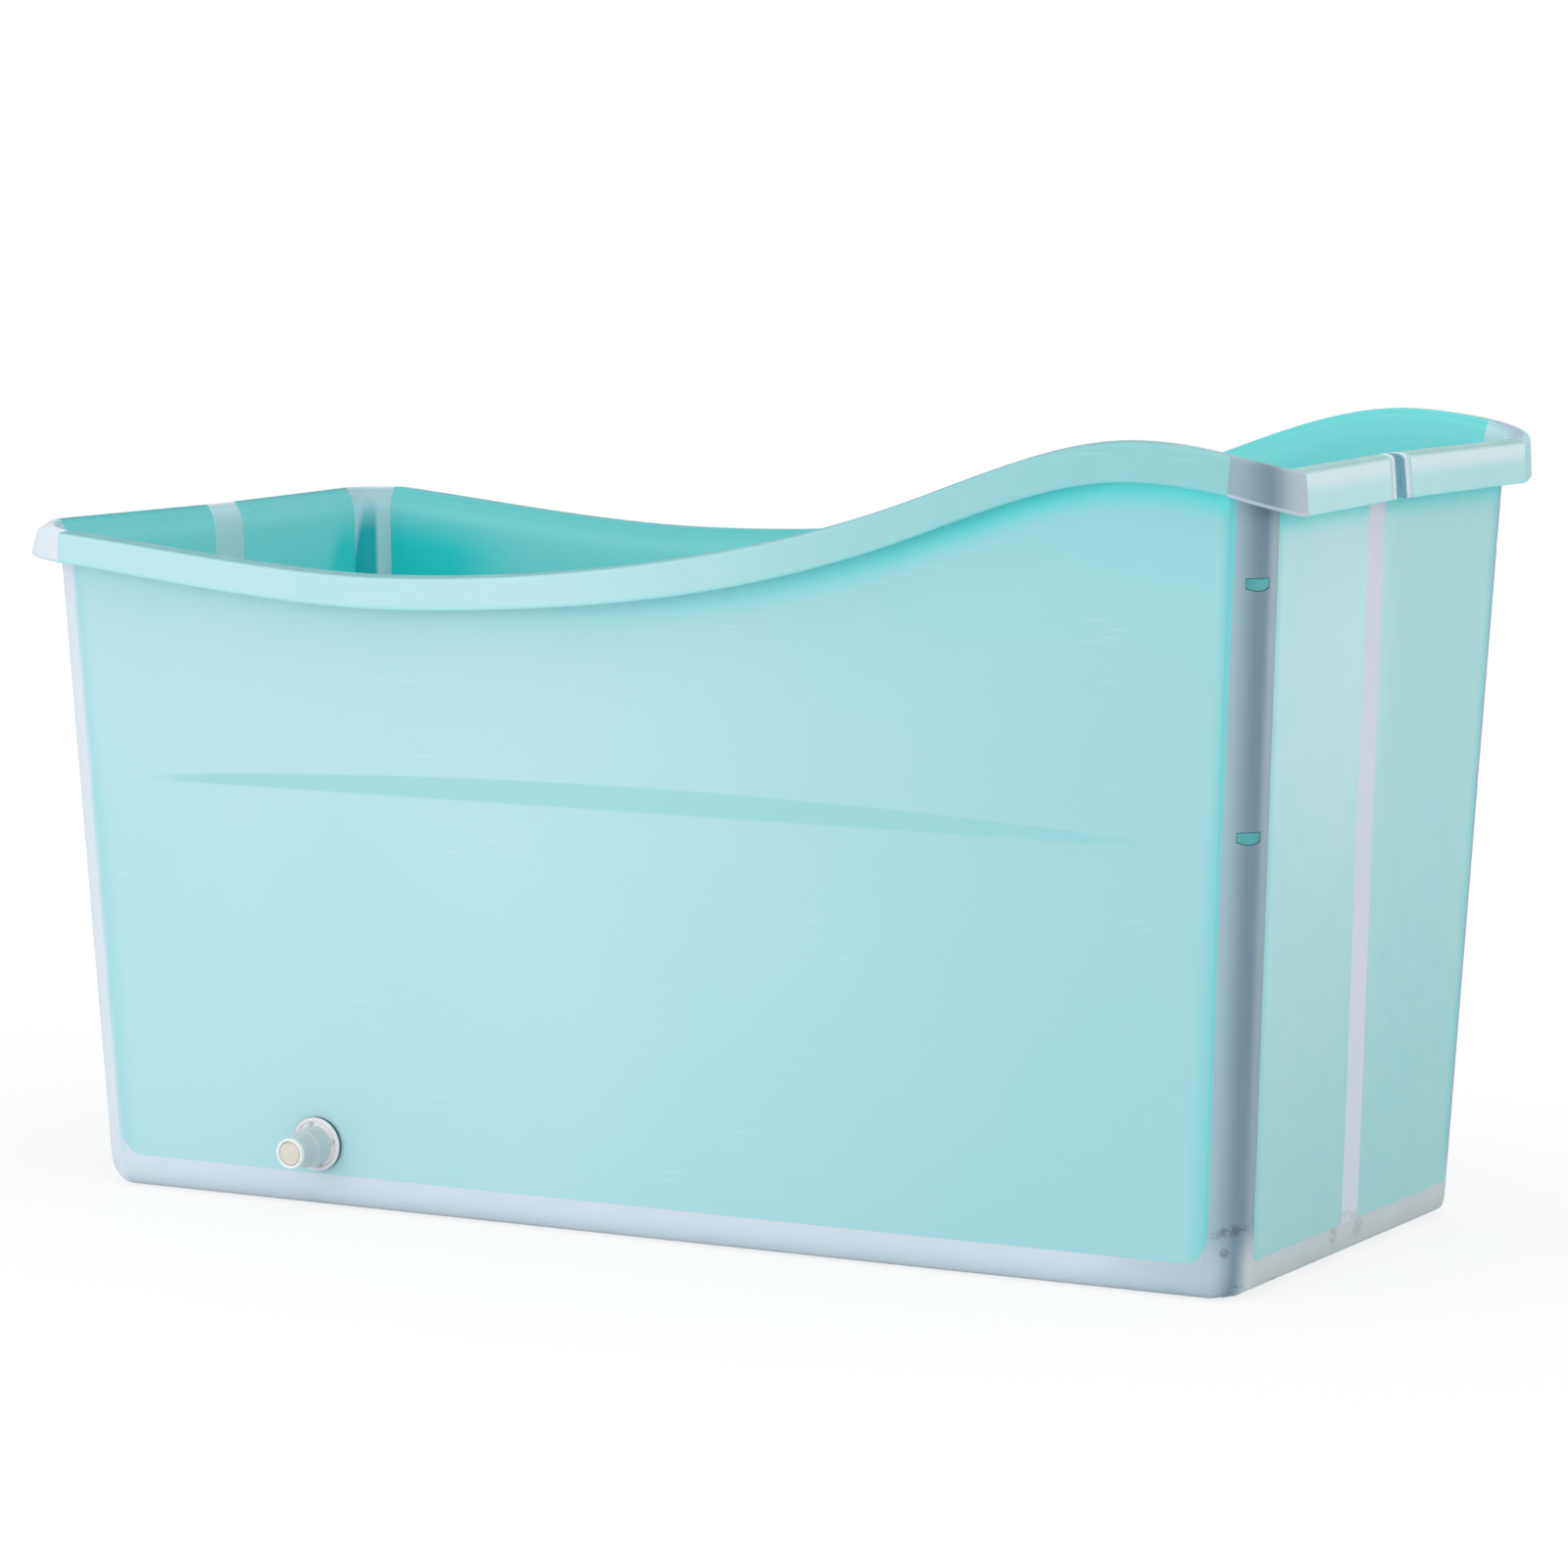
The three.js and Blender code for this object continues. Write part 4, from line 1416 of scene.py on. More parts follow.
for endName, end in ends.items():
    for sideName, side in sides.items():
        label = sideName + endName.capitalize()
        drops = (("Lower", links["lowerDrop"]), ("Upper", links["upperDrop"]))
        opening = linkSection(links["beyond"], -links["depth"])
        paths = [linkStations(end, side, dropHeight, 0) for level, dropHeight in drops]
        windows = [sweepPiece("window", path, opening, cornerSoft) for path in paths]
        finish = lowCornerSoft if endName == "low" else cornerSoft if side < 0 else farCornerSoft
        section = withOuter(cornerSection(), endTopOf(end))
        path = cornerStations(end, side)
        corner = sweepPiece(label + "Corner", path, section, finish, cutters=windows)
        drop(*windows)
        bendAtCorner(corner, endName, sideName)
        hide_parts(f"{sideName}_{endName}_corner_strip", sideName + "_base_band")
        section = linkSection(-links["inset"], -links["depth"] + links["inset"])
        for level, dropHeight in drops:
            path = linkStations(end, side, dropHeight, links["slack"])
            tab = sweepPiece(label + level + "Link", path, section, linkPlastic)
            bendAtCorner(tab, endName, sideName)
            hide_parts(f"{sideName}_{endName}_{level.lower()}_link")
        wall = sweepPiece(
            f"{endName}End{sideName.capitalize()}Panel",
            endPanelStations(end, side),
            withOuter(endSection(), endTopOf(end)),
            endMint,
        )
        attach(wall, f"{endName}_end_{sideName}")
        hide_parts(f"{endName}_end_{sideName}_panel")
print("corners, links and end walls made")

# Middle strips, notched where they cross the rim


def notchWedge(end):
    top, bow = endTopOf(end), tub["bow"]
    wallFace = tub["halfLength"] + tub["draft"] * top - bow
    skirtFace = tub["halfLength"] + tub["overhang"] - bow
    reach = skirtFace - wallFace
    beyond, above = 0.010, 0.02
    slope = notch["halfWidth"] / (reach - notch["apex"])
    wide = notch["halfWidth"] + slope * beyond
    xs = (wallFace + notch["apex"], skirtFace + beyond)
    corners = ((xs[0], 0), (xs[1], -wide), (xs[1], wide))
    points = [(end * x, y, top + z) for z in (-notch["below"], above) for x, y in corners]
    faces = [(0, 1, 2), (3, 4, 5), (0, 1, 4, 3), (1, 2, 5, 4), (2, 0, 3, 5)]
    mesh = bpy.data.meshes.new("notchWedge")
    mesh.from_pydata(points, [], faces)
    work = workOn(mesh)
    bmesh.ops.recalc_face_normals(work, faces=work.faces)
    settle(work, mesh)
    return addObject("notchWedge", mesh), (end * xs[0], slope, top)


def roundNotch(o, apexX, slope):
    # rounds the lips that the wedge left sharp
    work = workOn(o.data)

    def onWedge(v):
        inward = abs(v.co.x) - abs(apexX)
        return inward > 1e-4 and abs(abs(v.co.y) - slope * inward) < 3e-5

    lips = [e for e in work.edges if all(onWedge(v) for v in e.verts) and len(e.link_faces) == 2]
    lips = [e for e in lips if e.calc_face_angle(0) > math.radians(25)]
    shape = {"segments": 4, "profile": 0.5, "affect": "EDGES", "clamp_overlap": True}
    bmesh.ops.bevel(work, geom=lips, offset=notch["lip"], **shape)
    settle(work, o.data)


def lineNotch(o, end, apexX, slope, top):
    # thin walls down both sides of the notch, hooked in behind the skirt's lips
    thick, hook, hidden = notch["wall"], notch["hook"], tub["wall"] / 2
    high = end > 0
    fall = 0.0 if high else rim["lowEndFall"]
    flare = rim["flare"] if high else rim["lowEndFlare"]
    middle = tub["halfLength"] + tub["overhang"] - tub["bow"] - hidden
    inner = abs(apexX)
    back = min(thick / math.sin(math.atan(slope)), notch["mostBack"])
    skirt = tub["highSkirt"] if high else tub["lowSkirt"]
    levels = (
        (top - skirt + notch["foot"], middle),
        (top - fall - notch["middle"] * (skirt - fall), middle - 0.5 * flare),
        (top - fall - notch["shoulder"], middle - 0.95 * flare),
        (top - fall - notch["head"], middle - flare - notch["headIn"]),
    )
    # the mark above 1 tells the strip's finish that a point lies in the slot, which it paints in shade
    lipMark, sideMark, backMark = 1.4, 1.3, 0.5
    work = workOn(o.data)
    outerMark = work.verts.layers.float.get("outer")
    made = []
    for z, outer in levels:
        wide = slope * (outer - inner)
        half = (
            (outer, wide + hook, lipMark),
            (outer, wide + notch["hookStart"], lipMark),
            (outer - hidden, wide - slope * hidden, sideMark),
            (inner, 0, backMark),
        )
        rear = (
            (inner - back, 0, backMark),
            (outer - hidden - thick, wide + thick, sideMark),
            (outer - thick, wide + hook, lipMark),
        )
        outline = half + tuple((x, -y, mark) for x, y, mark in half[2::-1])
        outline += tuple((x, -y, mark) for x, y, mark in rear[:0:-1]) + rear
        ring = []
        for x, y, mark in outline:
            v = work.verts.new((end * x, y, z))
            v[outerMark] = mark
            ring.append(v)
        made.append(ring)
    sheet = []
    for lower, upper in zip(made, made[1:]):
        sheet += join(work, lower, upper)
    sheet += [work.faces.new(made[0]), work.faces.new(made[-1])]
    bmesh.ops.recalc_face_normals(work, faces=sheet)
    bmesh.ops.triangulate(work, faces=sheet[-2:])
    settle(work, o.data)


for endName, end in ends.items():
    wedge, (apexX, slope, top) = notchWedge(end)
    stripSectionRows = withOuter(endSection(), top)
    path = stripStations(end)
    strip = sweepPiece(endName + "EndStrip", path, stripSectionRows, stripSoft, cutters=(wedge,))
    roundNotch(strip, apexX, slope)
    lineNotch(strip, end, apexX, slope, top)
    tidyNormals(strip)
    drop(wedge)
    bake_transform(strip)
    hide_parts(f"{endName}_end_front_strip", f"{endName}_end_rear_strip")
    band = sweepPiece(endName + "EndBand", endBandStations(end), bandSection(), endBandSoft)
    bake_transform(band)
    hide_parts(f"{endName}_end_front_band", f"{endName}_end_rear_band")
drop(drainHole)
print("middle strips and end bands made")

# Drain fitting, its distances measured straight out of the wall

drain = {
    "hubShade": (0.0062, 0.0300),
    "tipShade": (0.0386, 0.0500),
    "ribs": 4,
    "ribTurn": 0.22,
    "ribHalf": 0.0014,
    "ribEdge": 0.0003,
    "grips": 24,
    "gripDepth": 0.0008,
}

# profiles are distances from the axis and out of the wall
ribOutline = (
    (0.0105, 0.0040), (0.0176, 0.0040), (0.0176, 0.0060), (0.0150, 0.0098), (0.0105, 0.0128),
)
gasketProfile = (
    (0.0095, 0.0004), (0.0098, 0.0002), (0.0204, 0.0002), (0.0209, 0.0006), (0.0210, 0.0013),
    (0.0209, 0.0021), (0.0204, 0.0025), (0.0098, 0.0025), (0.0095, 0.0023),
)
bodyProfile = (
    (0.0090, -0.0100), (0.0104, -0.0100), (0.0110, -0.0094), (0.0110, 0.0027), (0.0196, 0.0027),
    (0.0207, 0.0030), (0.0210, 0.0036), (0.0210, 0.0048), (0.0207, 0.0054), (0.0201, 0.0056),
    (0.0188, 0.0056), (0.0182, 0.0053), (0.0178, 0.0046), (0.0165, 0.0046), (0.0157, 0.0049),
    (0.0152, 0.0058), (0.0146, 0.0190), (0.0142, 0.0202), (0.0134, 0.0203), (0.0090, 0.0203),
)
spoutProfile = (
    (0.0090, 0.0205), (0.0140, 0.0205), (0.0149, 0.0208), (0.0152, 0.0214), (0.0152, 0.0223),
    (0.0149, 0.0230), (0.0141, 0.0236), (0.0135, 0.0252), (0.0115, 0.0385), (0.0114, 0.0392),
    (0.0118, 0.0398), (0.0119, 0.0406), (0.0119, 0.0416), (0.0116, 0.0424), (0.0110, 0.0428),
    (0.0101, 0.0427), (0.0096, 0.0422), (0.0094, 0.0414), (0.0093, 0.0330), (0.0090, 0.0325),
)
plugProfile = (
    (0.0, 0.0262), (0.0070, 0.0262), (0.0078, 0.0266), (0.0083, 0.0275), (0.0083, 0.0286),
    (0.0079, 0.0292), (0.0079, 0.0300), (0.0084, 0.0305), (0.0084, 0.0316), (0.0081, 0.0322),
    (0.0081, 0.0340), (0.0090, 0.0345), (0.00915, 0.0352), (0.00915, 0.0412), (0.0090, 0.0418),
    (0.0085, 0.0422), (0.0045, 0.0423), (0.0, 0.0422),
)
washerProfile = (
    (0.0113, -0.0046), (0.0175, -0.0046), (0.0180, -0.0042), (0.0180, -0.0037), (0.0175, -0.0033),
    (0.0113, -0.0033),
)
# the last number is how far a row follows the nut's grips
nutProfile = (
    (0.0113, -0.0086, 0), (0.0120, -0.0089, 0), (0.0162, -0.0089, 0), (0.0171, -0.0086, 0.6),
    (0.0175, -0.0080, 1), (0.0175, -0.0058, 1), (0.0173, -0.0052, 0.7), (0.0168, -0.0049, 0),
    (0.0120, -0.0048, 0), (0.0113, -0.0050, 0),
)


def turningTree():
    # turns a closed profile around the fitting's axis, its marked rows following even grips
    tree, source, output = newTree(
        "turnedProfile",
        (
            ("Profile", "NodeSocketObject", None),
            ("Steps", "NodeSocketInt", 96),
            ("Grips", "NodeSocketInt", drain["grips"]),
            ("Grip Depth", "NodeSocketFloat", drain["gripDepth"]),
            ("Finish", "NodeSocketMaterial", None),
        ),
    )
    profile, steps = otherShape(tree, source, "Profile"), source.outputs["Steps"]
    across = maths(tree, "ADD", steps, 1.0)
    grid, _, i, j = gridPlaces(tree, across, pointCount(tree, profile))
    i = maths(tree, "MODULO", i, steps)
    follow = sampleAt(tree, profile, named(tree, "grip"), "FLOAT", j)
    place = sampleAt(tree, profile, position(tree), "FLOAT_VECTOR", j)
    parts = addNode(tree, "ShaderNodeSeparateXYZ", {"Vector": place})
    angle = times(tree, maths(tree, "DIVIDE", i, steps), 2 * math.pi)
    wave = maths(tree, "COSINE", times(tree, angle, source.outputs["Grips"]))
    depth = times(tree, wave, follow, source.outputs["Grip Depth"])
    radius = maths(tree, "ADD", parts.outputs["X"], depth)
    turned = addNode(
        tree,
        "ShaderNodeCombineXYZ",
        {
            "X": times(tree, radius, maths(tree, "COSINE", angle)),
            "Y": times(tree, radius, maths(tree, "SINE", angle)),
            "Z": parts.outputs["Z"],
        },
    )
    placed = moved(tree, grid, turned.outputs[0])
    finishTree(tree, merged(tree, placed, 1e-6), source, output)
    return tree


turning = turningTree()


def emptyCarrier(name):
    return addObject(name, bpy.data.meshes.new(name))


def turnedPiece(name, profile, finish):
    mesh = bpy.data.meshes.new("profileRows")
    mesh.from_pydata([(p[0], 0, p[1]) for p in profile], [], [])
    grips = [p[2] if len(p) > 2 else 0.0 for p in profile]
    mesh.attributes.new("grip", "FLOAT", "POINT").data.foreach_set("value", grips)
    rows = addObject("profileRows", mesh)
    carrier = emptyCarrier(name + "Carrier")
    runTree(carrier, turning, {"Profile": rows, "Finish": finish})
    made = plainMesh(carrier, name)
    drop(carrier, rows)
    made.data.transform(drainMatrix())
    tidyNormals(made, 32)
    give(made, finish)
    return made


def softenEdges(o, width):
    bevel = o.modifiers.new("edge", "BEVEL")
    bevel.width = width
    bevel.segments = 2
    bevel.limit_method = "ANGLE"
    bevel.angle_limit = math.radians(50)
    old, mesh = o.data, evaluatedMesh(o)
    o.modifiers.clear()
    o.data = mesh
    bpy.data.meshes.remove(old)


def ribMesh(name):
    # flat web between the hub and the flange's recess, its outer end sloping down to the flange
    half = drain["ribHalf"]
    points = [(r, y, z) for y in (-half, half) for r, z in ribOutline]
    n = len(ribOutline)
    faces = [tuple(range(n)), tuple(range(2 * n - 1, n - 1, -1))]
    faces += [(i, i + n, (i + 1) % n + n, (i + 1) % n) for i in range(n)]
    mesh = bpy.data.meshes.new(name)
    mesh.from_pydata(points, [], faces)
    made = addObject(name, mesh)
    tidyNormals(made)
    softenEdges(made, drain["ribEdge"])
    return made


def ribTree():
    # webs spaced evenly around the hub
    tree, source, output = newTree(
        "hubRibs",
        (
            ("Rib", "NodeSocketObject", None),
            ("Count", "NodeSocketInt", drain["ribs"]),
            ("Turn", "NodeSocketFloat", drain["ribTurn"]),
            ("Finish", "NodeSocketMaterial", None),
        ),
    )
    inputs = {"Object": source.outputs["Rib"], "As Instance": True}
    one = addNode(tree, "GeometryNodeObjectInfo", inputs).outputs["Geometry"]
    count = source.outputs["Count"]
    points = addNode(tree, "GeometryNodeMeshLine", {"Count": count, "Offset": (0, 0, 0)}).outputs[0]
    step = maths(tree, "DIVIDE", addNode(tree, "GeometryNodeInputIndex").outputs[0], count)
    angle = maths(tree, "MULTIPLY_ADD", step, 2 * math.pi, source.outputs["Turn"])
    turn = addNode(tree, "ShaderNodeCombineXYZ", {"Z": angle})
    inputs = {"Points": points, "Instance": one, "Rotation": turn.outputs[0]}
    placed = addNode(tree, "GeometryNodeInstanceOnPoints", inputs)
    finishTree(tree, placed.outputs[0], source, output)
    return tree


def addRibs(o):
    rib = ribMesh("rib")
    carrier = emptyCarrier("ribCarrier")
    runTree(carrier, ribTree(), {"Rib": rib, "Finish": flangeWhite})
    ribs = plainMesh(carrier, "ribs")
    ribs.data.transform(drainMatrix())
    addMesh(o, ribs)
    drop(carrier, rib, ribs)
    tidyNormals(o, 32)


def paintAlong(o, finish, start, stop):
    # a second colour between two distances out of the wall
    o.data.materials.append(finish)
    origin, out = drainAxis()
    for polygon in o.data.polygons:
        along = (polygon.center - origin).dot(out)
        polygon.material_index = 1 if start < along < stop else 0


drainPieces = (
    ("drainGasket", gasketProfile, sealRubber, "drain_gasket", "seal"),
    ("drainBody", bodyProfile, flangeWhite, "drain_body", "drain_plastic"),
    ("drainSpout", spoutProfile, spoutWhite, "drain_spout", "drain_plastic"),
    ("drainPlug", plugProfile, plugCream, "drain_plug", "plug"),
    ("drainWasher", washerProfile, sealRubber, "drain_washer", "seal"),
    ("drainNut", nutProfile, flangeWhite, "drain_nut", "drain_plastic"),
)
for name, profile, finish, nodeName, slotName in drainPieces:
    piece = turnedPiece(name, profile, finish)
    if name == "drainBody":
        paintAlong(piece, spoutWhite, *drain["hubShade"])
        addRibs(piece)
    if name == "drainSpout":
        paintAlong(piece, tipWhite, *drain["tipShade"])
    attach(piece, "plug" if name == "drainPlug" else "front_side")
    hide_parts(nodeName)
print("drain fitting made")

# Floor halves and the soft triangles at their ends

base = {
    "hinge": 0.1937,
    "reach": 0.470,
    "thick": 0.0032,
    "seamStrip": 0.012,
    "gap": 0.0001,
    "tipCut": 0.0022,
    "domePitch": 0.0165,
    "domeRadius": 0.0026,
    "domeHeight": 0.0008,
    "domeMargin": 0.010,
}


def floorReachAt(y):
    return min(base["reach"] - (base["hinge"] - y), base["reach"] - base["tipCut"])


def floorStrip(name, side, section, cuts):
    # closed section of distance and height, its ends following the slanting reach
    work = bmesh.new()
    rings = []
    for s in [2 * i / cuts - 1 for i in range(cuts + 1)]:
        rings.append([work.verts.new((s * floorReachAt(y), side * y, z)) for y, z in section])
    for first, second in zip(rings, rings[1:]):
        join(work, first, second)
    work.faces.new(rings[0])
    work.faces.new(rings[-1])
    bmesh.ops.recalc_face_normals(work, faces=work.faces)
    return objectFrom(name, work)


def platedSection(near, far, top, r=0.0005):
    # stiff half with a shallow groove along each long edge
    groove = ((0.0055, top), (0.0060, top - r), (0.0075, top - r), (0.0080, top))
    lower = ((near + r, 0.0), (far - r, 0.0), (far, r), (far, top - r), (far - r, top))
    outer = tuple((far - away, z) for away, z in groove)
    inner = tuple((near + away, z) for away, z in groove[::-1])
    return lower + outer + inner + ((near + r, top), (near, top - r), (near, r))


def ribbedSection(near, far, top, ridges=3):
    # seam strip with low ridges along it
    edge, shoulder, valley, margin = 0.0004, 0.0009, 0.0006, 0.0008
    points = [(near + edge, 0.0), (far - edge, 0.0), (far, edge), (far, top - shoulder)]
    pitch = (far - near - 2 * margin) / ridges
    ridge = ((0, top - valley), (0.25, top), (0.7, top), (0.92, top - valley))
    for i in range(ridges):
        start = far - margin - pitch * i
        points += [(start - pitch * away, z) for away, z in ridge]
    return (*points, (near, top - shoulder), (near, edge))


def domeTree():
    # low domes in rows over a floor half, kept off its slanting ends
    tree, source, output = newTree(
        "floorDomes",
        (
            ("Near", "NodeSocketFloat", 0.0),
            ("Far", "NodeSocketFloat", 0.1),
            ("Side", "NodeSocketFloat", 1.0),
            ("Pitch", "NodeSocketFloat", base["domePitch"]),
            ("Radius", "NodeSocketFloat", base["domeRadius"]),
            ("Height", "NodeSocketFloat", base["domeHeight"]),
            ("Finish", "NodeSocketMaterial", None),
        ),
    )
    near, far, pitch = (source.outputs[key] for key in ("Near", "Far", "Pitch"))
    wide = maths(tree, "SUBTRACT", far, near)
    columns = maths(tree, "FLOOR", maths(tree, "DIVIDE", 2 * base["reach"], pitch))
    lines = maths(tree, "ADD", maths(tree, "FLOOR", maths(tree, "DIVIDE", wide, pitch)), 1.0)
    long = times(tree, maths(tree, "SUBTRACT", columns, 1.0), pitch)
    deep = times(tree, maths(tree, "SUBTRACT", lines, 1.0), pitch)
    inputs = {"Size X": long, "Size Y": deep, "Vertices X": columns, "Vertices Y": lines}
    grid = addNode(tree, "GeometryNodeMeshGrid", inputs).outputs["Mesh"]
    middle = times(tree, maths(tree, "ADD", near, far), 0.5, source.outputs["Side"])
    shift = addNode(tree, "ShaderNodeCombineXYZ", {"Y": middle, "Z": base["thick"]})
    inputs = {"Geometry": grid, "Offset": shift.outputs[0]}
    rows = addNode(tree, "GeometryNodeSetPosition", inputs).outputs[0]
    place = addNode(tree, "ShaderNodeSeparateXYZ", {"Vector": position(tree)})
    slant = base["reach"] - base["hinge"] - base["domeMargin"]
    reach = maths(tree, "ADD", maths(tree, "ABSOLUTE", place.outputs["Y"]), slant)
    outside = maths(tree, "GREATER_THAN", maths(tree, "ABSOLUTE", place.outputs["X"]), reach)
    inputs = {"Geometry": rows, "Selection": outside}
    kept = addNode(tree, "GeometryNodeDeleteGeometry", inputs, domain="POINT")
    inputs = {"Segments": 8, "Rings": 5, "Radius": 1.0}
    ball = addNode(tree, "GeometryNodeMeshUVSphere", inputs).outputs["Mesh"]
    radius, height = source.outputs["Radius"], source.outputs["Height"]
    size = addNode(tree, "ShaderNodeCombineXYZ", {"X": radius, "Y": radius, "Z": height})
    inputs = {"Points": kept.outputs[0], "Instance": ball, "Scale": size.outputs[0]}
    placed = addNode(tree, "GeometryNodeInstanceOnPoints", inputs)
    finishTree(tree, placed.outputs[0], source, output)
    return tree


domes = domeTree()


def addDomes(o, side, near, far):
    carrier = emptyCarrier("domeCarrier")
    runTree(carrier, domes, {"Near": near, "Far": far, "Side": float(side), "Finish": floorMint})
    made = plainMesh(carrier, "domes")
    addMesh(o, made)
    drop(carrier, made)


gusset = {
    "thick": 0.0025,
    "lift": 0.0004,
    "outer": 0.482,
    "arc": 0.0127,
    "arcIn": 0.0003,
    "gap": 0.0006,
    "crease": 0.0004,
    "creases": 10,
    "longestEdge": 0.02,
    "anchorX": 0.47,
    "anchorY": {"low": 0.198, "high": 0.19},
}


def gussetPiece(name, end, side):
    # plate between the floor's slanting end and the end wall, its creases fanning from its point
    cx, cy = cornerMiddle
    arc, arcIn = gusset["arc"], gusset["arcIn"]
    near, top = gusset["gap"], gusset["lift"] + gusset["thick"]

    def reachAt(y):
        return base["reach"] - (base["hinge"] - y) + gusset["gap"]

    outline = [(gusset["outer"], near)]
    outline += [(gusset["outer"], near + (cy - near) * i / 12) for i in range(1, 13)]
    for i in range(1, 5):
        a = math.pi / 4 * i / 4
        outline.append((cx + arc * math.cos(a) - arcIn, cy + arc * math.sin(a) - arcIn))
    tipY = cy + arc * math.sqrt(0.5)
    slanting = [tipY - (tipY - near) * i / 16 for i in range(17)]
    outline += [(reachAt(y), y) for y in slanting]
    inner = (reachAt(near), near)
    work = bmesh.new()
    layers = []
    for z in (gusset["lift"], top):
        layers.append([work.verts.new((end * x, side * y, z)) for x, y in outline])
    join(work, *layers)
    work.faces.new(layers[0])
    work.faces.new(layers[1])
    bmesh.ops.recalc_face_normals(work, faces=work.faces)
    bmesh.ops.triangulate(work, faces=[f for f in work.faces if len(f.verts) > 4])
    long = [e for e in work.edges if e.calc_length() > gusset["longestEdge"]]
    bmesh.ops.subdivide_edges(work, edges=long, cuts=2, use_grid_fill=False)
    bmesh.ops.triangulate(work, faces=work.faces)
    for v in work.verts:
        if v.co.z > top - 1e-5:
            a = math.atan2(abs(v.co.y) - inner[1], abs(v.co.x) - inner[0] + 1e-4)
            v.co.z -= gusset["crease"] * (0.5 + 0.5 * math.cos(a * gusset["creases"]))
    made = objectFrom(name, work)
    give(made, gussetSoft)
    tidyNormals(made, 45)
    return made


for sideName, side in sides.items():
    far, near = base["hinge"], base["seamStrip"] + base["gap"]
    plated = platedSection(near, far, base["thick"])
    ribbed = ribbedSection(base["gap"], base["seamStrip"], base["thick"])
    panel = floorStrip(sideName + "FloorPanel", side, plated, 24)
    addDomes(panel, side, near + base["domeMargin"], far - base["domeMargin"])
    strip = floorStrip(sideName + "FloorSeamStrip", side, ribbed, 24)
    for piece, finish, nodeName, slotName in (
        (panel, floorMint, "_floor_panel", "panel"),
        (strip, floorSoft, "_floor_seam_strip", "soft_hinge"),
    ):
        give(piece, finish)
        tidyNormals(piece, 30)
        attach(piece, "floor_" + sideName)
        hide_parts(sideName + nodeName)
    for endName, end in ends.items():
        piece = gussetPiece(f"{sideName}{endName.capitalize()}Gusset", end, side)
        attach(piece, sideName + "_side")
        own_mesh(piece)
        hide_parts(f"{sideName}_{endName}_gusset")
print("floor and corner triangles made")

# Floor, background and light

studio = {
    "floorColour": (246, 247, 248),
    "floorHalf": 14.0,
    "floorHeight": -0.0008,
    "fadeStretch": (0.62, 1.0, 0),
    "fadeStart": 0.4125,
    "fadeEnd": 0.875,
    "leastWhite": 0.80,
    "world": 0.75,
}


def makeFloor():
    mesh = bpy.data.meshes.new("studioFloor")
    half, height = studio["floorHalf"], studio["floorHeight"]
    corners = ((-half, -half), (half, -half), (half, half), (-half, half))
    mesh.from_pydata([(x, y, height) for x, y in corners], [], [(0, 1, 2, 3)])
    floor = addObject("studioFloor", mesh)
    made, tree, surface = newFinish("studioFloor")
    tree.nodes.remove(surface)
    output = next(n for n in tree.nodes if n.bl_idname == "ShaderNodeOutputMaterial")
    matt = addNode(tree, "ShaderNodeBsdfDiffuse", {"Color": colour(*studio["floorColour"])})
    white = addNode(tree, "ShaderNodeEmission", {"Color": (1, 1, 1, 1), "Strength": 1.0})
    stretched = vectorMaths(tree, "MULTIPLY", spot(tree), studio["fadeStretch"])
    away = vectorMaths(tree, "LENGTH", stretched)
    far = ranged(tree, away, studio["fadeStart"], studio["fadeEnd"], studio["leastWhite"], 1.0)
    paths = addNode(tree, "ShaderNodeLightPath")
    seen = maths(tree, "MAXIMUM", paths.outputs["Is Camera Ray"], paths.outputs["Is Glossy Ray"])
    share = times(tree, far, seen)
    inputs = {0: share, 1: matt.outputs[0], 2: white.outputs[0]}
    blend = addNode(tree, "ShaderNodeMixShader", inputs)
    tree.links.new(blend.outputs[0], output.inputs["Surface"])
    mesh.materials.append(made)


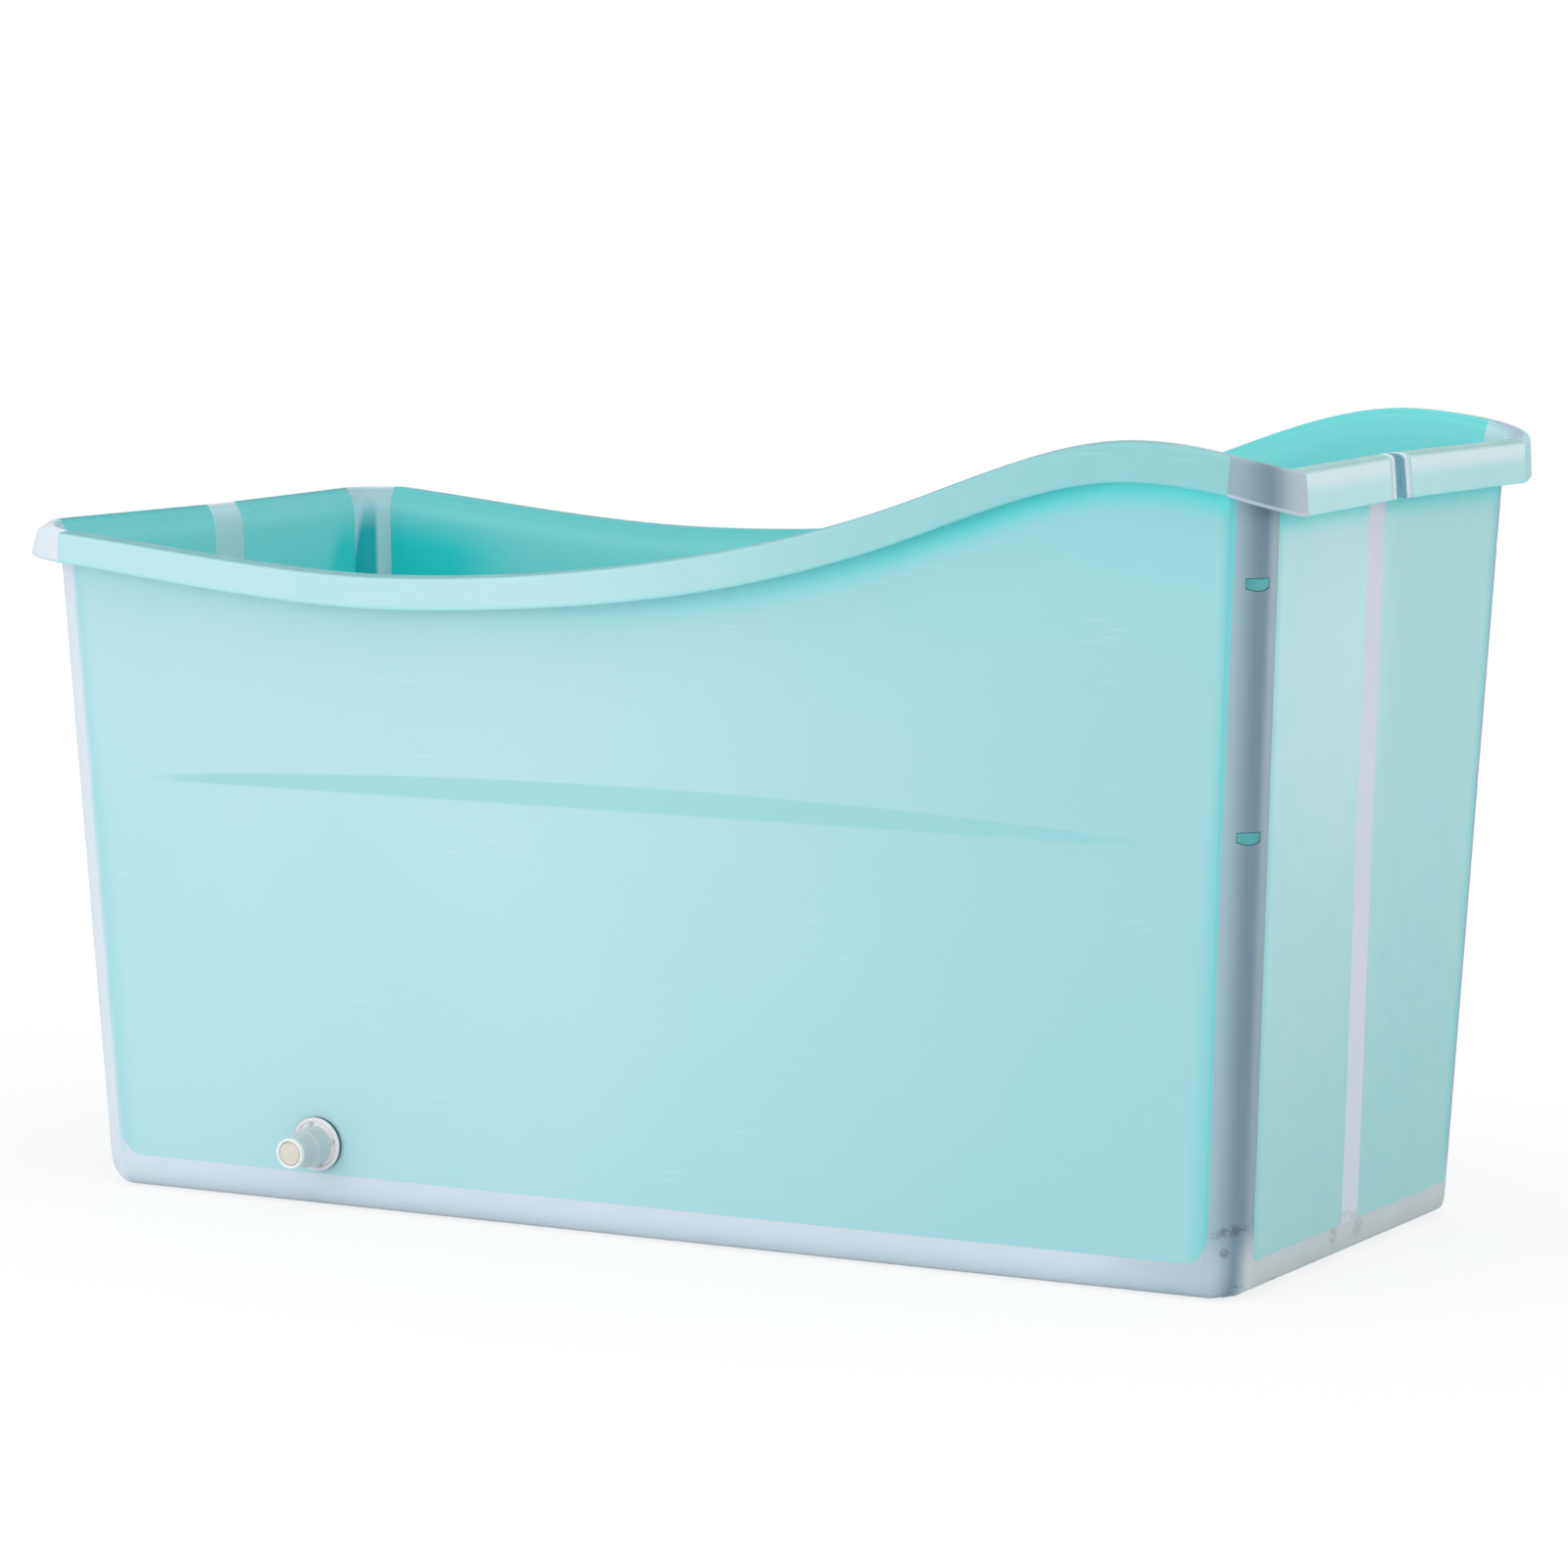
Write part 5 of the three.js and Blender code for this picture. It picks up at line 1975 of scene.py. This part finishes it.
def makeWorld():
    world = bpy.data.worlds.new("studio")
    world.use_nodes = True
    scene.world = world
    tree = world.node_tree
    tree.nodes.clear()
    paths = addNode(tree, "ShaderNodeLightPath")
    seen = maths(tree, "MAXIMUM", paths.outputs["Is Camera Ray"], paths.outputs["Is Glossy Ray"])
    seen = maths(tree, "MAXIMUM", seen, paths.outputs["Is Transmission Ray"])
    strength = ranged(tree, seen, 0.0, 1.0, studio["world"], 1.0, smoothly=False)
    light = addNode(tree, "ShaderNodeBackground", {"Color": (1, 1, 1, 1), "Strength": strength})
    output = addNode(tree, "ShaderNodeOutputWorld")
    tree.links.new(light.outputs[0], output.inputs["Surface"])


lamps = {
    "topSoftbox": {"place": (0.2, -0.4, 3.2), "aim": (0, 0, 0.3), "size": 2.6, "power": 26.0},
    "frontSoftbox": {"place": (-1.4, -3.6, 1.0), "aim": (0, 0, 0.3), "size": 2.2, "power": 32.0},
    "rightSoftbox": {"place": (3.6, -0.6, 1.6), "aim": (0, 0, 0.3), "size": 1.8, "power": 14.0},
}


def makeLamps():
    for name, lamp in lamps.items():
        data = bpy.data.lights.new(name, "AREA")
        data.shape = "SQUARE"
        data.size = lamp["size"]
        data.energy = lamp["power"]
        made = addObject(name, data)
        place, aim = Vector(lamp["place"]), Vector(lamp["aim"])
        turn = (aim - place).to_track_quat("-Z", "Y").to_matrix().to_4x4()
        made.matrix_world = Matrix.Translation(place) @ turn


makeFloor()
makeWorld()
makeLamps()
print("studio made")

# Camera at the photograph's place
view = {
    "place": (2.21823, -4.03715, 0.86752),
    "yaw": 0.5,
    "pitch": 0.117,
    "roll": 0.001,
    "lens": 136.54,
}


def makeCamera():
    yaw, pitch, roll = view["yaw"], view["pitch"], view["roll"]
    level, fall = math.cos(pitch), -math.sin(pitch)
    ahead = Vector((-math.sin(yaw) * level, math.cos(yaw) * level, fall))
    right = ahead.cross(Vector((0, 0, 1))).normalized()
    up = right.cross(ahead)
    across = right * math.cos(roll) + up * math.sin(roll)
    upward = up * math.cos(roll) - right * math.sin(roll)
    turn = Matrix((across, upward, -ahead)).transposed().to_4x4()
    data = bpy.data.cameras.new("photoCamera")
    data.lens = view["lens"]
    data.sensor_width = 36
    data.clip_end = 60
    camera = addObject("photoCamera", data)
    camera.matrix_world = Matrix.Translation(view["place"]) @ turn
    scene.camera = camera


makeCamera()
